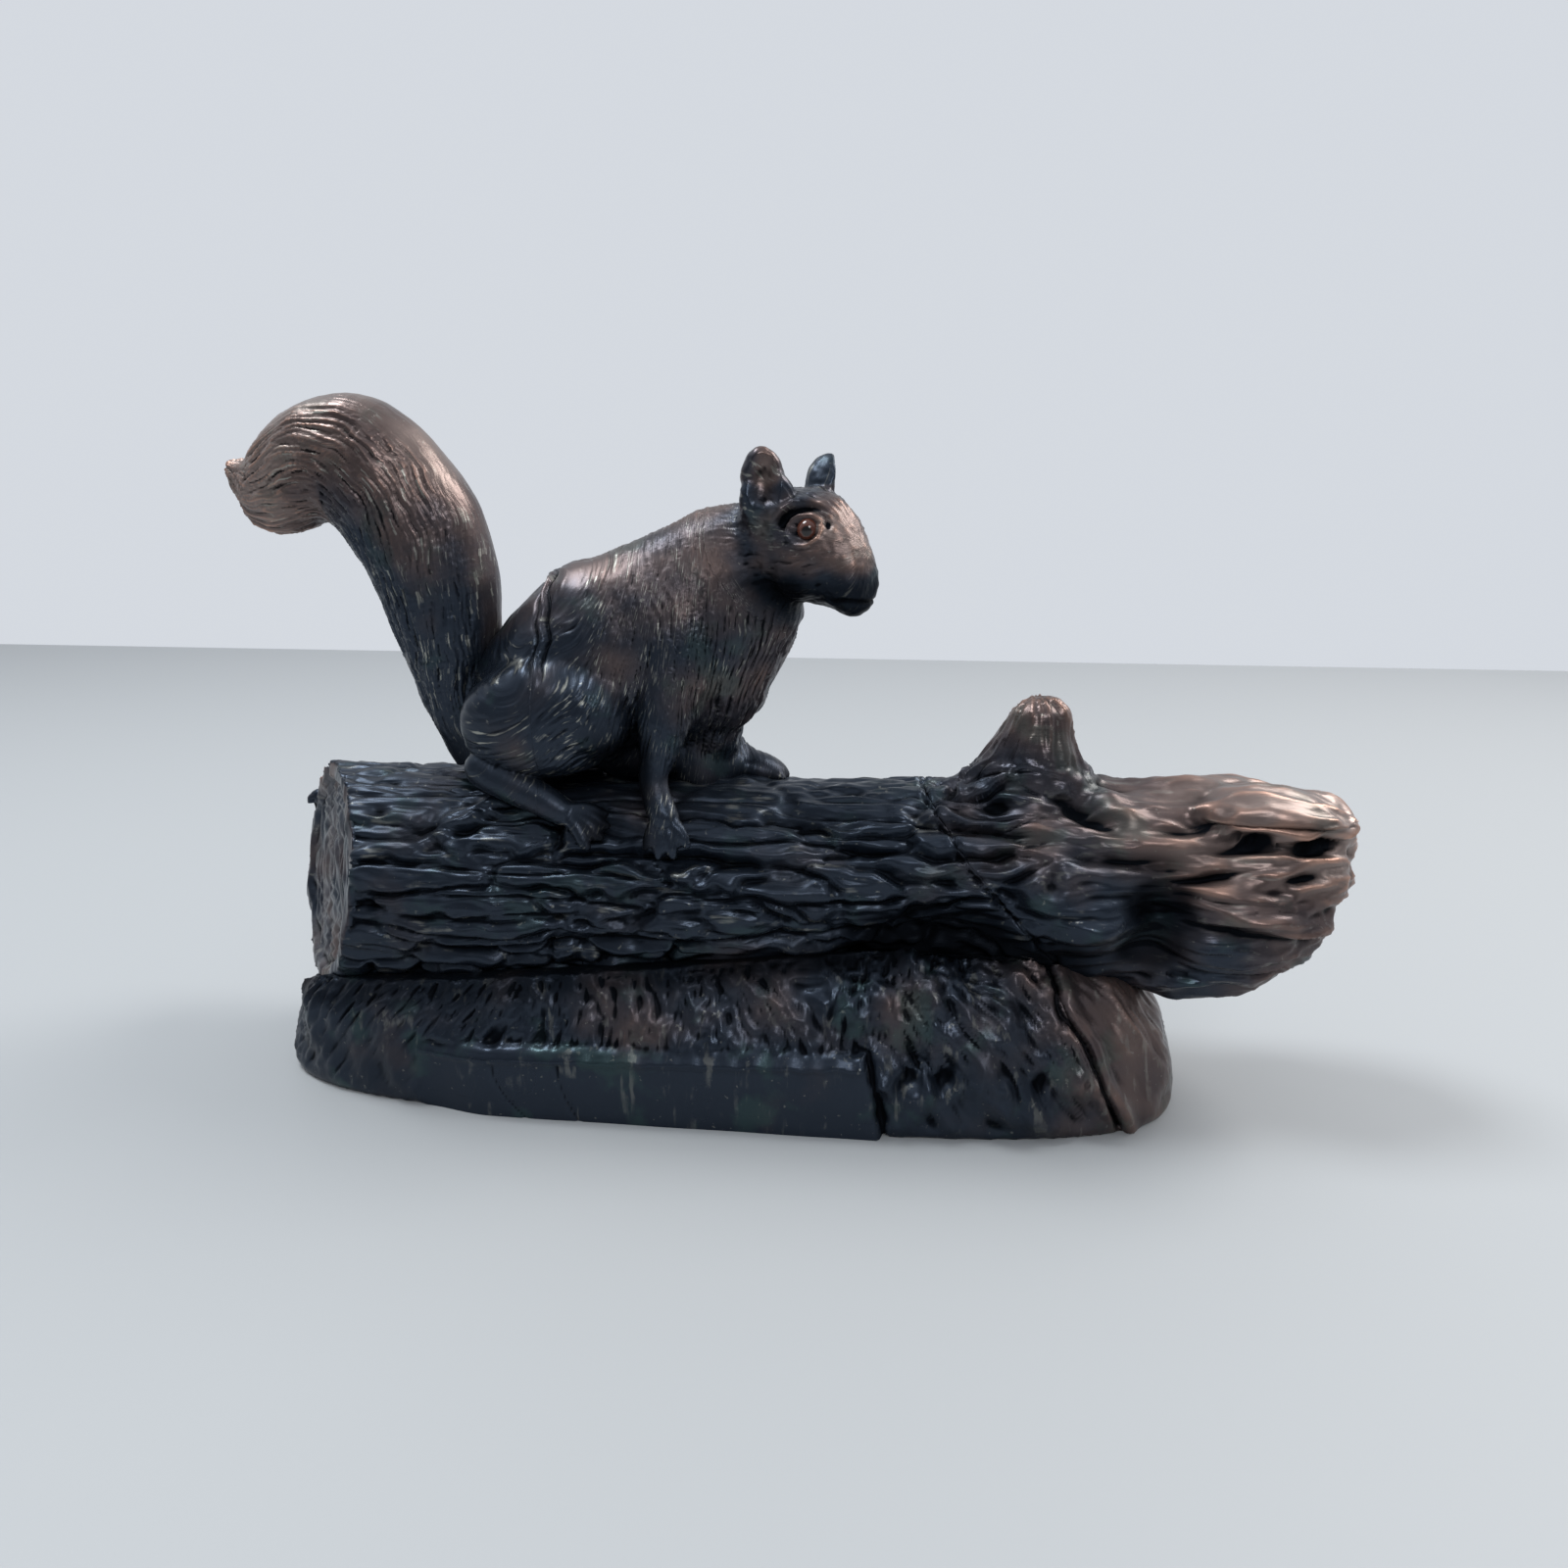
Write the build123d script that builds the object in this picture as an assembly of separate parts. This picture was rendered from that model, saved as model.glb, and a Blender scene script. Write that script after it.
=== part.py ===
from build123d import *
import math
import os

# Squirrel looking back over its shoulder from a sawn and broken log, on a mound of grass.
# The figure is a set of hollow metal castings, butted together at seams and held by studs from below.
# Sizes are in millimetres. X runs along the log to its broken end, Y away from the viewer, Z up.

# Castings in general
casting_wall = 2.2
joint_clearance = 0.15
spigot_lip = 1.2
spigot_reach = 3.5
overrun = 400.0
oval_points = 8
oval_side_start = 0.0
oval_under_start = -90.0
mass_ring_shares = (-0.97, -0.78, -0.42, 0.0, 0.42, 0.78, 0.97)

# Grass mound
base_length = 132.0
base_depth = 41.0
mound_height = 26.0
mound_low_end_height = 14.5
mound_squareness = 3.2
mound_outline_points = 24
base_seam_foot = 57.0
base_seam_lean = 26.0
# Share of the mound's height, of half its length and of half its depth at each level
mound_level_shares = [
    (0.0, 0.985, 0.98),
    (0.10, 1.0, 1.0),
    (0.37, 0.965, 0.985),
    (0.53, 0.92, 0.91),
    (0.74, 0.84, 0.78),
    (1.0, 0.70, 0.46),
]

# Plain plaque band on the front of the mound
plaque_length = 61.0
plaque_height = 10.5
plaque_centre = -8.0
plaque_proud = 0.4

# Closing plate, its screws and the felt under the base
rim_wall = 2.4
cover_ledge = 2.0
cover_thickness = 1.5
felt_thickness = 1.0
screw_radius = 1.1
screw_length = 6.0
screw_head_radius = 2.1
screw_head_height = 1.2
screw_slot_width = 0.5
screw_slot_depth = 0.5
screw_boss_radius = 2.8
screw_hole_spare = 1.0
outer_screw_inset = 24.0
inner_screw_place = 18.0
thread_slack = 0.05

# Log
log_length = 164.0
log_diameter = 33.6
log_rest_height = 10.8
log_overhang = 10.0
cut_face_back = 58.0
cut_face_turn = 38.0
cut_face_tilt = 9.0
log_bore_share = 0.90
log_seam_place = 43.0
log_seam_lean = 40.0
# Share of the log's length from its cut end; then of its diameter: axis height, half height, half depth
log_station_shares = [
    (0.0, 0.498, 0.500, 0.500),
    (0.16, 0.500, 0.500, 0.500),
    (0.31, 0.518, 0.482, 0.488),
    (0.463, 0.565, 0.435, 0.470),
    (0.585, 0.595, 0.402, 0.445),
    (0.695, 0.604, 0.412, 0.435),
    (0.80, 0.600, 0.424, 0.430),
    (0.866, 0.596, 0.428, 0.416),
    (0.92, 0.602, 0.410, 0.386),
    (0.963, 0.662, 0.342, 0.327),
    (0.983, 0.706, 0.268, 0.253),
    (0.998, 0.812, 0.128, 0.150),
]

# Branch stub on the broken end, as shares of the log's length and diameter
stub_height = 13.2
stub_place_share = 0.745
# Share of the stub's height, then of the log's diameter: shift along, half length, half depth
stub_station_shares = [
    (-0.75, 0.0, 0.36, 0.27),
    (0.0, 0.0, 0.285, 0.205),
    (0.32, 0.010, 0.182, 0.145),
    (0.68, 0.012, 0.125, 0.108),
    (0.92, 0.010, 0.088, 0.080),
    (1.0, 0.008, 0.045, 0.042),
]

# Splits torn into the broken end: middle, box sizes as shares of the diameter, pitch and yaw in degrees
split_shares = [
    ((0.97, -0.36, 0.72), (0.80, 0.34, 0.075), (6.0, 12.0)),
    ((0.93, -0.42, 0.46), (0.70, 0.34, 0.085), (-14.0, 14.0)),
    ((0.95, 0.36, 0.62), (0.75, 0.34, 0.080), (8.0, -14.0)),
]

# Broken twig on the far side of the cut end
twig_radius = 1.3
# Places as shares of the log's diameter from the middle of the cut end's axis
twig_path_shares = [(0.0, 0.40, 0.10), (-0.24, 0.46, 0.16), (-0.40, 0.50, 0.24), (-0.46, 0.51, 0.20)]
twig_taper_shares = (1.4, 1.2, 1.0, 0.6)

# Squirrel, from rump to chest, from log to nape and across the haunches
squirrel_place = -14.0
squirrel_length = 45.0
squirrel_height = 38.4
squirrel_width = 30.0
body_seam_share = -0.19
# Share of the length; of the height: axis height, half height; of the width: half depth
torso_station_shares = [
    (-0.465, 0.18, 0.13, 0.17),
    (-0.36, 0.25, 0.252, 0.30),
    (-0.19, 0.355, 0.340, 0.375),
    (0.0, 0.447, 0.352, 0.385),
    (0.20, 0.530, 0.366, 0.375),
    (0.36, 0.625, 0.356, 0.275),
    (0.47, 0.715, 0.235, 0.21),
]
# The same for the hollow inside it
torso_bore_shares = torso_station_shares[1:5]
# Rounded masses: middle, then half sizes, as shares of length, width and height, and the tilt in degrees
chest_shares = ((0.32, 0.0, 0.41), (0.165, 0.29, 0.26))
shoulder_shares = ((0.21, 0.23, 0.50), (0.14, 0.155, 0.25))
haunch_shares = ((-0.19, 0.29, 0.265), (0.262, 0.205, 0.215))
haunch_tilt = 12.0
support_shares = ((0.222, 0.11, 0.02), (0.10, 0.15, 0.13))
# Limbs: places as shares of length, width and height, and half thickness as a share of the height
near_foreleg_shares = [
    ((0.18, -0.283, 0.42), 0.135),
    ((0.185, -0.347, 0.27), 0.092),
    ((0.17, -0.38, 0.15), 0.068),
    ((0.155, -0.393, 0.06), 0.050),
    ((0.19, -0.42, -0.047), 0.053),
    ((0.215, -0.443, -0.13), 0.040),
]
far_foreleg_shares = [
    ((0.311, 0.167, 0.406), 0.13),
    ((0.311, 0.20, 0.27), 0.094),
    ((0.30, 0.21, 0.16), 0.076),
    ((0.322, 0.21, 0.073), 0.060),
    ((0.411, 0.20, 0.02), 0.052),
    ((0.478, 0.20, -0.01), 0.040),
]
hind_foot_shares = [
    ((-0.37, 0.36, 0.06), 0.066),
    ((-0.25, 0.385, 0.02), 0.070),
    ((-0.15, 0.42, -0.04), 0.062),
    ((-0.07, 0.44, -0.10), 0.042),
]

# Head, turned towards the viewer
head_length = 26.0
head_height = 14.8
head_width = 13.0
head_turn = 38.0
head_place_shares = (0.489, -0.034, 0.858)
neck_peg_radius = 2.6
neck_peg_length = 5.0
neck_seam_shares = (-0.09, -0.09)
neck_seam_tilt = 32.0
# Share of the head's length; of its height: axis height, half height; of its width: half width
head_station_shares = [
    (-0.20, -0.20, 0.56, 0.47),
    (-0.02, -0.02, 0.525, 0.50),
    (0.135, 0.0, 0.505, 0.505),
    (0.31, 0.0, 0.50, 0.475),
    (0.46, -0.06, 0.485, 0.405),
    (0.575, -0.16, 0.405, 0.31),
    (0.66, -0.255, 0.275, 0.235),
    (0.715, -0.325, 0.145, 0.150),
]
ear_shares = ((0.155, 0.40, 0.53), (0.145, 0.115, 0.30))
ear_hollow_shares = ((0.175, 0.49, 0.56), (0.095, 0.085, 0.20))
ear_splay = 12.0
eye_radius = 1.45
eye_clearance = 0.05
eye_shares = (0.425, 0.335, 0.155)

# Tail, rising behind the rump and curling over backwards
tail_height = 53.0
tail_reach = 39.0
tail_width = 20.0
tail_depth = 15.0
tail_peg_radius = 2.2
tail_peg_length = 6.4
tail_peg_rise = 8.0
tail_root_share = -0.505
# Share of the reach and of the height from the root; heading in degrees; of the width and the depth
tail_station_shares = [
    (0.02, 0.035, 100.0, 0.40, 0.50),
    (-0.04, 0.20, 98.0, 0.56, 0.66),
    (-0.065, 0.355, 95.0, 0.76, 0.86),
    (-0.10, 0.51, 97.0, 0.905, 0.98),
    (-0.165, 0.645, 108.0, 0.99, 1.0),
    (-0.275, 0.765, 132.0, 0.97, 1.0),
    (-0.435, 0.835, 160.0, 0.92, 0.97),
    (-0.615, 0.810, 188.0, 0.84, 0.88),
    (-0.745, 0.765, 192.0, 0.58, 0.66),
    (-0.85, 0.772, 172.0, 0.22, 0.32),
]

# Studs that hold squirrel, log and base together, with their washers and nuts
stud_radius = 1.5
stud_clearance = 0.2
stud_boss_radius = 4.0
stud_boss_rise = 13.0
stud_hold = 11.0
stud_tail = 1.0
washer_radius = 3.5
washer_thickness = 0.6
nut_across_flats = 5.5
nut_height = 2.4
rear_stud_share = -0.30
front_stud_share = 0.24
front_stud_side_share = 0.06


def oval(centre, heading, half_side, half_up, start=oval_side_start):
    """Oval face along heading, with its sideways axis nearest to Y and its seam at the start angle."""
    forward = Vector(*heading).normalized()
    side = Vector(0, 1, 0) - forward * forward.Y
    plane = Plane(origin=centre, x_dir=side, z_dir=forward)
    first = math.radians(start)
    angles = [first + 2 * math.pi * step / oval_points for step in range(oval_points)]
    rim = [plane.from_local_coords((half_side * math.cos(a), half_up * math.sin(a), 0)) for a in angles]
    return Face(Wire([Edge.make_spline([Vector(*point) for point in rim], periodic=True)]))


def limb(places, radii):
    """Rounded limb through places."""
    points = [Vector(*place) for place in places]
    before = [points[0]] + points[:-1]
    after = points[1:] + [points[-1]]
    rings = [
        oval(point, ahead - behind, radius, radius)
        for point, behind, ahead, radius in zip(points, before, after, radii)
    ]
    return loft(rings)


def rounded_mass(centre, half_sizes, tilt=0.0):
    """Rounded mass with three half sizes, its long way tilted up from X."""
    way = Vector(math.cos(math.radians(tilt)), 0, math.sin(math.radians(tilt)))
    middle = Vector(*centre)
    half_long, half_side, half_up = half_sizes
    return loft(
        [
            oval(middle + way * half_long * share, way, half_side * swell, half_up * swell)
            for share, swell in ((s, math.sqrt(1 - s * s)) for s in mass_ring_shares)
        ]
    )


def beyond(plane):
    """Block that fills the space on the far side of a plane."""
    return plane * Box(overrun, overrun, overrun, align=(Align.CENTER, Align.CENTER, Align.MIN))


def slab(plane, reach):
    """Slice of space of the given thickness on the near side of a plane."""
    return plane * Box(overrun, overrun, reach, align=(Align.CENTER, Align.CENTER, Align.MAX))


def post(x, y, low, high, radius):
    """Upright round bar between two heights."""
    return Pos(x, y, low) * Cylinder(radius, high - low, align=(Align.CENTER, Align.CENTER, Align.MIN))


# Log

log_start = -base_length / 2 - log_overhang
log_middle_height = log_rest_height + log_diameter / 2


def log_place(along, side, up):
    """Point of the log given as shares of its length and diameter."""
    return (log_start + along * log_length, side * log_diameter, log_rest_height + up * log_diameter)


def log_ovals(stations, grow):
    """Cross sections of the log, grown by a wall or shrunk by a negative one."""
    return [
        oval(
            log_place(along, 0, up),
            (1, 0, 0),
            half_side * log_diameter + grow,
            half_up * log_diameter + grow,
        )
        for along, up, half_up, half_side in stations
    ]


def log_form(grow):
    """Whole outside of the log without its torn details."""
    return loft(log_ovals(log_station_shares, grow))


def log_bore(shrink):
    """Space inside the log as far as its blind end, smaller than the outside by shrink."""
    hollow = [shares for shares in log_station_shares if shares[0] < log_bore_share]
    return loft(log_ovals(hollow, -shrink))


turn = math.radians(cut_face_turn)
tilt = math.radians(cut_face_tilt)
face_normal = (-math.cos(turn) * math.cos(tilt), -math.sin(turn) * math.cos(tilt), math.sin(tilt))
cut_face = Plane(origin=(-cut_face_back, 0, log_middle_height), z_dir=face_normal)

lean = math.radians(log_seam_lean)
log_seam = Plane(origin=(log_seam_place, 0, log_middle_height), z_dir=(math.cos(lean), 0, math.sin(lean)))

stub_x, stub_y, stub_z = log_place(stub_place_share, 0, 1)
stub = loft(
    [
        oval(
            (stub_x + shift * log_diameter, stub_y, stub_z + rise * stub_height),
            (0, 0, 1),
            half_depth * log_diameter,
            half_length * log_diameter,
        )
        for rise, shift, half_length, half_depth in stub_station_shares
    ]
)

twig = limb(
    [
        (-cut_face_back + along * log_diameter, side * log_diameter, log_middle_height + up * log_diameter)
        for along, side, up in twig_path_shares
    ],
    [twig_radius * share for share in twig_taper_shares],
)

log_outside = log_form(0) - beyond(cut_face)
log_shell = log_outside + twig - beyond(log_seam)
log_shell -= log_bore(casting_wall) - beyond(cut_face.offset(-casting_wall))

broken_end = log_outside + stub
for place, size, (pitch, yaw) in split_shares:
    wedge = Box(*[share * log_diameter for share in size])
    broken_end -= Pos(*log_place(*place)) * Rot(0, pitch, yaw) * wedge
spigot = log_bore(casting_wall + joint_clearance) & slab(log_seam, spigot_reach)
log_broken_end = (broken_end & beyond(log_seam)) + spigot
log_broken_end -= log_bore(casting_wall + joint_clearance + spigot_lip)


# Mound

floor_height = felt_thickness + cover_thickness
base_bore_top = log_rest_height - casting_wall


def mound_outline(height, half_length, half_depth):
    """Level outline of the mound: an oval squared off along its sides."""
    points = []
    for step in range(mound_outline_points):
        angle = 2 * math.pi * (step + 0.5) / mound_outline_points
        bend = 2 / mound_squareness
        across = math.copysign(abs(math.cos(angle)) ** bend, math.cos(angle))
        deep = math.copysign(abs(math.sin(angle)) ** bend, math.sin(angle))
        points.append(Vector(half_length * across, half_depth * deep, height))
    return Face(Wire([Edge.make_spline(points, periodic=True)]))


def mound_form(inset):
    """Mound under its sloping top, smaller all round by inset."""
    levels = [
        mound_outline(
            height * (mound_height - inset),
            length * base_length / 2 - inset,
            depth * base_depth / 2 - inset,
        )
        for height, length, depth in mound_level_shares
    ]
    return loft(levels) - beyond(mound_top.offset(-inset))


def mound_plate(inset, low, high):
    """Flat plate inside the mound's rim."""
    height, length, depth = mound_level_shares[0]
    rim = mound_outline(low, length * base_length / 2 - inset, depth * base_depth / 2 - inset)
    return extrude(rim, high - low)


base_lean = math.radians(base_seam_lean)
base_seam = Plane(origin=(base_seam_foot, 0, 0), z_dir=(math.cos(base_lean), 0, math.sin(base_lean)))
slope = math.atan2(mound_height - mound_low_end_height, base_seam_foot + base_length / 2)
mound_top = Plane(
    origin=(-base_length / 2, 0, mound_low_end_height),
    z_dir=(-math.sin(slope), 0, math.cos(slope)),
)

plaque_depth = base_depth / 2
plaque = Pos(plaque_centre, -plaque_depth / 2 - plaque_proud, plaque_height / 2) * Box(
    plaque_length, plaque_depth, plaque_height
)

outer_screw_place = outer_screw_inset - base_length / 2
screw_side = base_depth / 2 - rim_wall - cover_ledge - screw_boss_radius
end_screw_place = base_length / 2 - rim_wall - cover_ledge - screw_boss_radius
base_screws = [(x, y) for x in (outer_screw_place, inner_screw_place) for y in (-screw_side, screw_side)]
end_screws = [(end_screw_place, 0)]

perch_height = log_rest_height + log_diameter
stud_places = [
    (squirrel_place + rear_stud_share * squirrel_length, 0),
    (squirrel_place + front_stud_share * squirrel_length, front_stud_side_share * squirrel_width),
]


def screw_bosses(places):
    """Bosses that the cover's screws bite into."""
    top = base_bore_top + casting_wall
    return [post(x, y, floor_height, top, screw_boss_radius) for x, y in places]


def screw_holes(places):
    """Blind holes for the cover's screws."""
    top = felt_thickness + screw_length + screw_hole_spare
    return [post(x, y, 0, top, screw_radius + thread_slack) for x, y in places]


bore_inset = rim_wall + cover_ledge
end_inset = bore_inset + joint_clearance + spigot_lip
mound = mound_form(0) + plaque - log_form(0) - mound_plate(rim_wall, 0, floor_height)

base_shell = mound - beyond(base_seam) - mound_plate(bore_inset, 0, base_bore_top)
for boss in screw_bosses(base_screws):
    base_shell += boss
for hole in screw_holes(base_screws):
    base_shell -= hole
passage_radius = stud_radius + stud_clearance
stud_passages = [post(x, y, 0, perch_height + stud_hold, passage_radius) for x, y in stud_places]
for passage in stud_passages:
    base_shell -= passage

spigot_floor = floor_height + joint_clearance
spigot_roof = base_bore_top - joint_clearance
base_spigot = mound_plate(bore_inset + joint_clearance, spigot_floor, spigot_roof)
base_right_end = mound & beyond(base_seam)
base_right_end += base_spigot & slab(base_seam, spigot_reach)
base_right_end -= mound_plate(end_inset, 0, spigot_roof - spigot_lip)
for boss in screw_bosses(end_screws):
    base_right_end += boss
for hole in screw_holes(end_screws):
    base_right_end -= hole


# Squirrel


def squirrel_point(along, side, up):
    """Point of the squirrel given as shares of its length, width and height over the log."""
    return (
        squirrel_place + along * squirrel_length,
        side * squirrel_width,
        perch_height + up * squirrel_height,
    )


def torso_form(stations, grow):
    """Trunk from the rump to the neck, grown or shrunk all round."""
    return loft(
        [
            oval(
                squirrel_point(along, 0, up),
                (1, 0, 0),
                half_side * squirrel_width + grow,
                half_up * squirrel_height + grow,
            )
            for along, up, half_up, half_side in stations
        ]
    )


def fleshed(shares, side, tilt=0.0):
    """Rounded mass of the squirrel, on the side given by its sign."""
    (along, out, up), (half_long, half_side, half_up) = shares
    half_sizes = (half_long * squirrel_length, half_side * squirrel_width, half_up * squirrel_height)
    return rounded_mass(squirrel_point(along, side * out, up), half_sizes, tilt)


def leg(shares, side):
    """Leg of the squirrel, on the side given by its sign."""
    return limb(
        [squirrel_point(along, side * out, up) for (along, out, up), thick in shares],
        [thick * squirrel_height for place, thick in shares],
    )


head_x, head_y, head_z = squirrel_point(*head_place_shares)
facing = math.radians(head_turn)
head_frame = Plane(
    origin=(head_x, head_y, head_z),
    x_dir=(math.cos(facing), -math.sin(facing), 0),
    z_dir=(0, 0, 1),
)
neck_lean = math.radians(neck_seam_tilt)
neck_along, neck_up = neck_seam_shares
neck_seam = head_frame * Plane(
    origin=(neck_along * head_length, 0, neck_up * head_height),
    z_dir=(math.cos(neck_lean), 0, math.sin(neck_lean)),
)
body_seam_x = squirrel_point(body_seam_share, 0, 0)[0]
body_seam = Plane(origin=(body_seam_x, 0, 0), z_dir=(1, 0, 0))

trunk = torso_form(torso_station_shares, 0)
body_bore = torso_form(torso_bore_shares, -casting_wall)
haunches = [fleshed(haunch_shares, side, haunch_tilt) for side in (-1, 1)]
hind_feet = [leg(hind_foot_shares, side) for side in (-1, 1)]
shoulders = [fleshed(shoulder_shares, side) for side in (-1, 1)]
forelegs = [leg(near_foreleg_shares, 1), leg(far_foreleg_shares, 1)]
boss_top = perch_height + stud_boss_rise
stud_top = perch_height + stud_hold
boss_root = perch_height - log_diameter / 2
stud_bosses = [post(x, y, boss_root, boss_top, stud_boss_radius) for x, y in stud_places]
stud_bores = [post(x, y, 0, stud_top + stud_tail, stud_radius + thread_slack) for x, y in stud_places]

hindquarters = trunk - beyond(body_seam) - body_bore + stud_bosses[0]
for mass in haunches + hind_feet:
    hindquarters += mass - body_bore
hindquarters = hindquarters - log_form(0) - stud_bores[0]

front_bore = torso_form(torso_bore_shares, -casting_wall - joint_clearance - spigot_lip)
body_spigot = torso_form(torso_bore_shares, -casting_wall - joint_clearance) & slab(body_seam, spigot_reach)
rear_x, rear_y = stud_places[0]
boss_room = post(rear_x, rear_y, boss_root, boss_top + joint_clearance, stud_boss_radius + joint_clearance)
body_spigot -= boss_room
front = trunk & beyond(body_seam)
for mass in shoulders + forelegs + [fleshed(chest_shares, 1), fleshed(support_shares, 1)]:
    front += mass
front = front - haunches[0] - haunches[1] + body_spigot - front_bore
front = front + stud_bosses[1] - log_form(0) - stud_bores[1]


# Head

head_form = loft(
    [
        oval(
            (along * head_length, 0, up * head_height),
            (1, 0, 0),
            half_side * head_width,
            half_up * head_height,
            oval_under_start,
        )
        for along, up, half_up, half_side in head_station_shares
    ]
)


def head_mass(shares, side, splay):
    """Rounded mass on the head, leaning outwards on the side given by its sign."""
    (along, out, up), (half_long, half_side, half_up) = shares
    mass = rounded_mass((0, 0, 0), (half_long * head_length, half_side * head_width, half_up * head_height))
    place = Pos(along * head_length, side * out * head_width, up * head_height)
    return place * Rot(-side * splay, 0, 0) * mass


eye_along, eye_out, eye_up = eye_shares
eye_x = eye_along * head_length
eye_y = eye_out * head_width
eye_z = eye_up * head_height
eyes = {
    "eye_right": Pos(eye_x, -eye_y, eye_z) * Sphere(eye_radius),
    "eye_left": Pos(eye_x, eye_y, eye_z) * Sphere(eye_radius),
}
for side in (-1, 1):
    head_form += head_mass(ear_shares, side, ear_splay)
    head_form -= head_mass(ear_hollow_shares, side, ear_splay)
socket_radius = eye_radius + eye_clearance
for side in (-1, 1):
    socket_floor = Plane(origin=(eye_x, side * (eye_y - socket_radius), eye_z), z_dir=(0, side, 0))
    head_form -= socket_floor * Cylinder(
        socket_radius,
        2 * socket_radius,
        align=(Align.CENTER, Align.CENTER, Align.MIN),
    )
peg_hole = neck_seam * Cylinder(
    neck_peg_radius + joint_clearance,
    neck_peg_length + joint_clearance,
    align=(Align.CENTER, Align.CENTER, Align.MAX),
)
peg = neck_seam * Cylinder(neck_peg_radius, neck_peg_length, align=(Align.CENTER, Align.CENTER, Align.MAX))
squirrel_head = (head_frame * head_form & beyond(neck_seam)) + peg
eyes = {name: head_frame * eye for name, eye in eyes.items()}
squirrel_front_body = front - beyond(neck_seam) - peg_hole


# Tail

tail_x, tail_y, tail_z = squirrel_point(tail_root_share, 0, 0)
tail_form = loft(
    [
        oval(
            (tail_x + along * tail_reach, tail_y, tail_z + up * tail_height),
            (math.cos(math.radians(heading)), 0, math.sin(math.radians(heading))),
            deep * tail_depth / 2,
            wide * tail_width / 2,
        )
        for along, up, heading, wide, deep in tail_station_shares
    ]
)
tail_seat = Plane(origin=(tail_x, 0, tail_z + tail_peg_rise), z_dir=(1, 0, 0))
tail_peg_hole = tail_seat * Cylinder(
    tail_peg_radius + joint_clearance,
    tail_peg_length + joint_clearance,
    align=(Align.CENTER, Align.CENTER, Align.MIN),
)
tail_peg = tail_seat * Cylinder(
    tail_peg_radius,
    tail_peg_length,
    align=(Align.CENTER, Align.CENTER, Align.MIN),
)
tail = tail_form - hindquarters - log_form(0) + tail_peg
squirrel_hindquarters = hindquarters - tail_peg_hole


# Studs, washers and nuts

nut_top = base_bore_top - washer_thickness
nut_seat = nut_top - nut_height
tie_studs = Compound([post(x, y, nut_seat - stud_tail, stud_top, stud_radius) for x, y in stud_places])
tie_washers = Compound(
    [
        post(x, y, nut_top, base_bore_top, washer_radius) - post(x, y, 0, stud_top, passage_radius)
        for x, y in stud_places
    ]
)
nut_corner_radius = nut_across_flats / math.sqrt(3)
tie_nuts = Compound(
    [
        Pos(x, y, nut_seat) * extrude(RegularPolygon(nut_corner_radius, 6), nut_height)
        - post(x, y, 0, stud_top, stud_radius + thread_slack)
        for x, y in stud_places
    ]
)


# Closing plate, screws and felt

cover_screw_places = base_screws + end_screws
base_cover = mound_plate(rim_wall + joint_clearance, felt_thickness, floor_height)
for x, y in cover_screw_places:
    base_cover -= post(x, y, 0, floor_height, screw_radius + joint_clearance)
    base_cover -= Pos(x, y, felt_thickness) * Cone(
        screw_head_radius, screw_radius, screw_head_height, align=(Align.CENTER, Align.CENTER, Align.MIN)
    )


def cover_screw(x, y):
    """Countersunk screw with a plain slot, pointing up."""
    head = Pos(x, y, felt_thickness) * Cone(
        screw_head_radius, screw_radius, screw_head_height, align=(Align.CENTER, Align.CENTER, Align.MIN)
    )
    slot = Pos(x, y, felt_thickness) * Box(2 * screw_head_radius, screw_slot_width, 2 * screw_slot_depth)
    shank = post(x, y, felt_thickness + screw_slot_depth, felt_thickness + screw_length, screw_radius)
    return head + shank - slot


cover_screws = Compound([cover_screw(x, y) for x, y in cover_screw_places])
felt_pad = mound_plate(rim_wall + joint_clearance, 0, felt_thickness)


# Whole figure, stood with the middle of its underside at the origin

pieces = {
    "base_shell": base_shell,
    "base_right_end": base_right_end,
    "log_shell": log_shell - Compound(stud_passages),
    "log_broken_end": log_broken_end,
    "squirrel_hindquarters": squirrel_hindquarters,
    "squirrel_front_body": squirrel_front_body,
    "squirrel_head": squirrel_head,
    "eye_right": eyes["eye_right"],
    "eye_left": eyes["eye_left"],
    "tail": tail,
    "tie_studs": tie_studs,
    "tie_washers": tie_washers,
    "tie_nuts": tie_nuts,
    "base_cover": base_cover,
    "cover_screws": cover_screws,
    "felt_pad": felt_pad,
}
boxes = [piece.bounding_box() for piece in pieces.values()]
middle_x = (min(box.min.X for box in boxes) + max(box.max.X for box in boxes)) / 2
middle_y = (min(box.min.Y for box in boxes) + max(box.max.Y for box in boxes)) / 2

os.makedirs("parts", exist_ok=True)
for name, piece in pieces.items():
    export_step(Pos(-middle_x, -middle_y, 0) * piece, f"parts/{name}.step")
    print(name, round(piece.volume))
print("middle", round(middle_x, 2), round(middle_y, 2))
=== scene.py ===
import math

import bmesh
import bpy
import numpy as np
from mathutils import Euler, Matrix, Vector, noise


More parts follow.
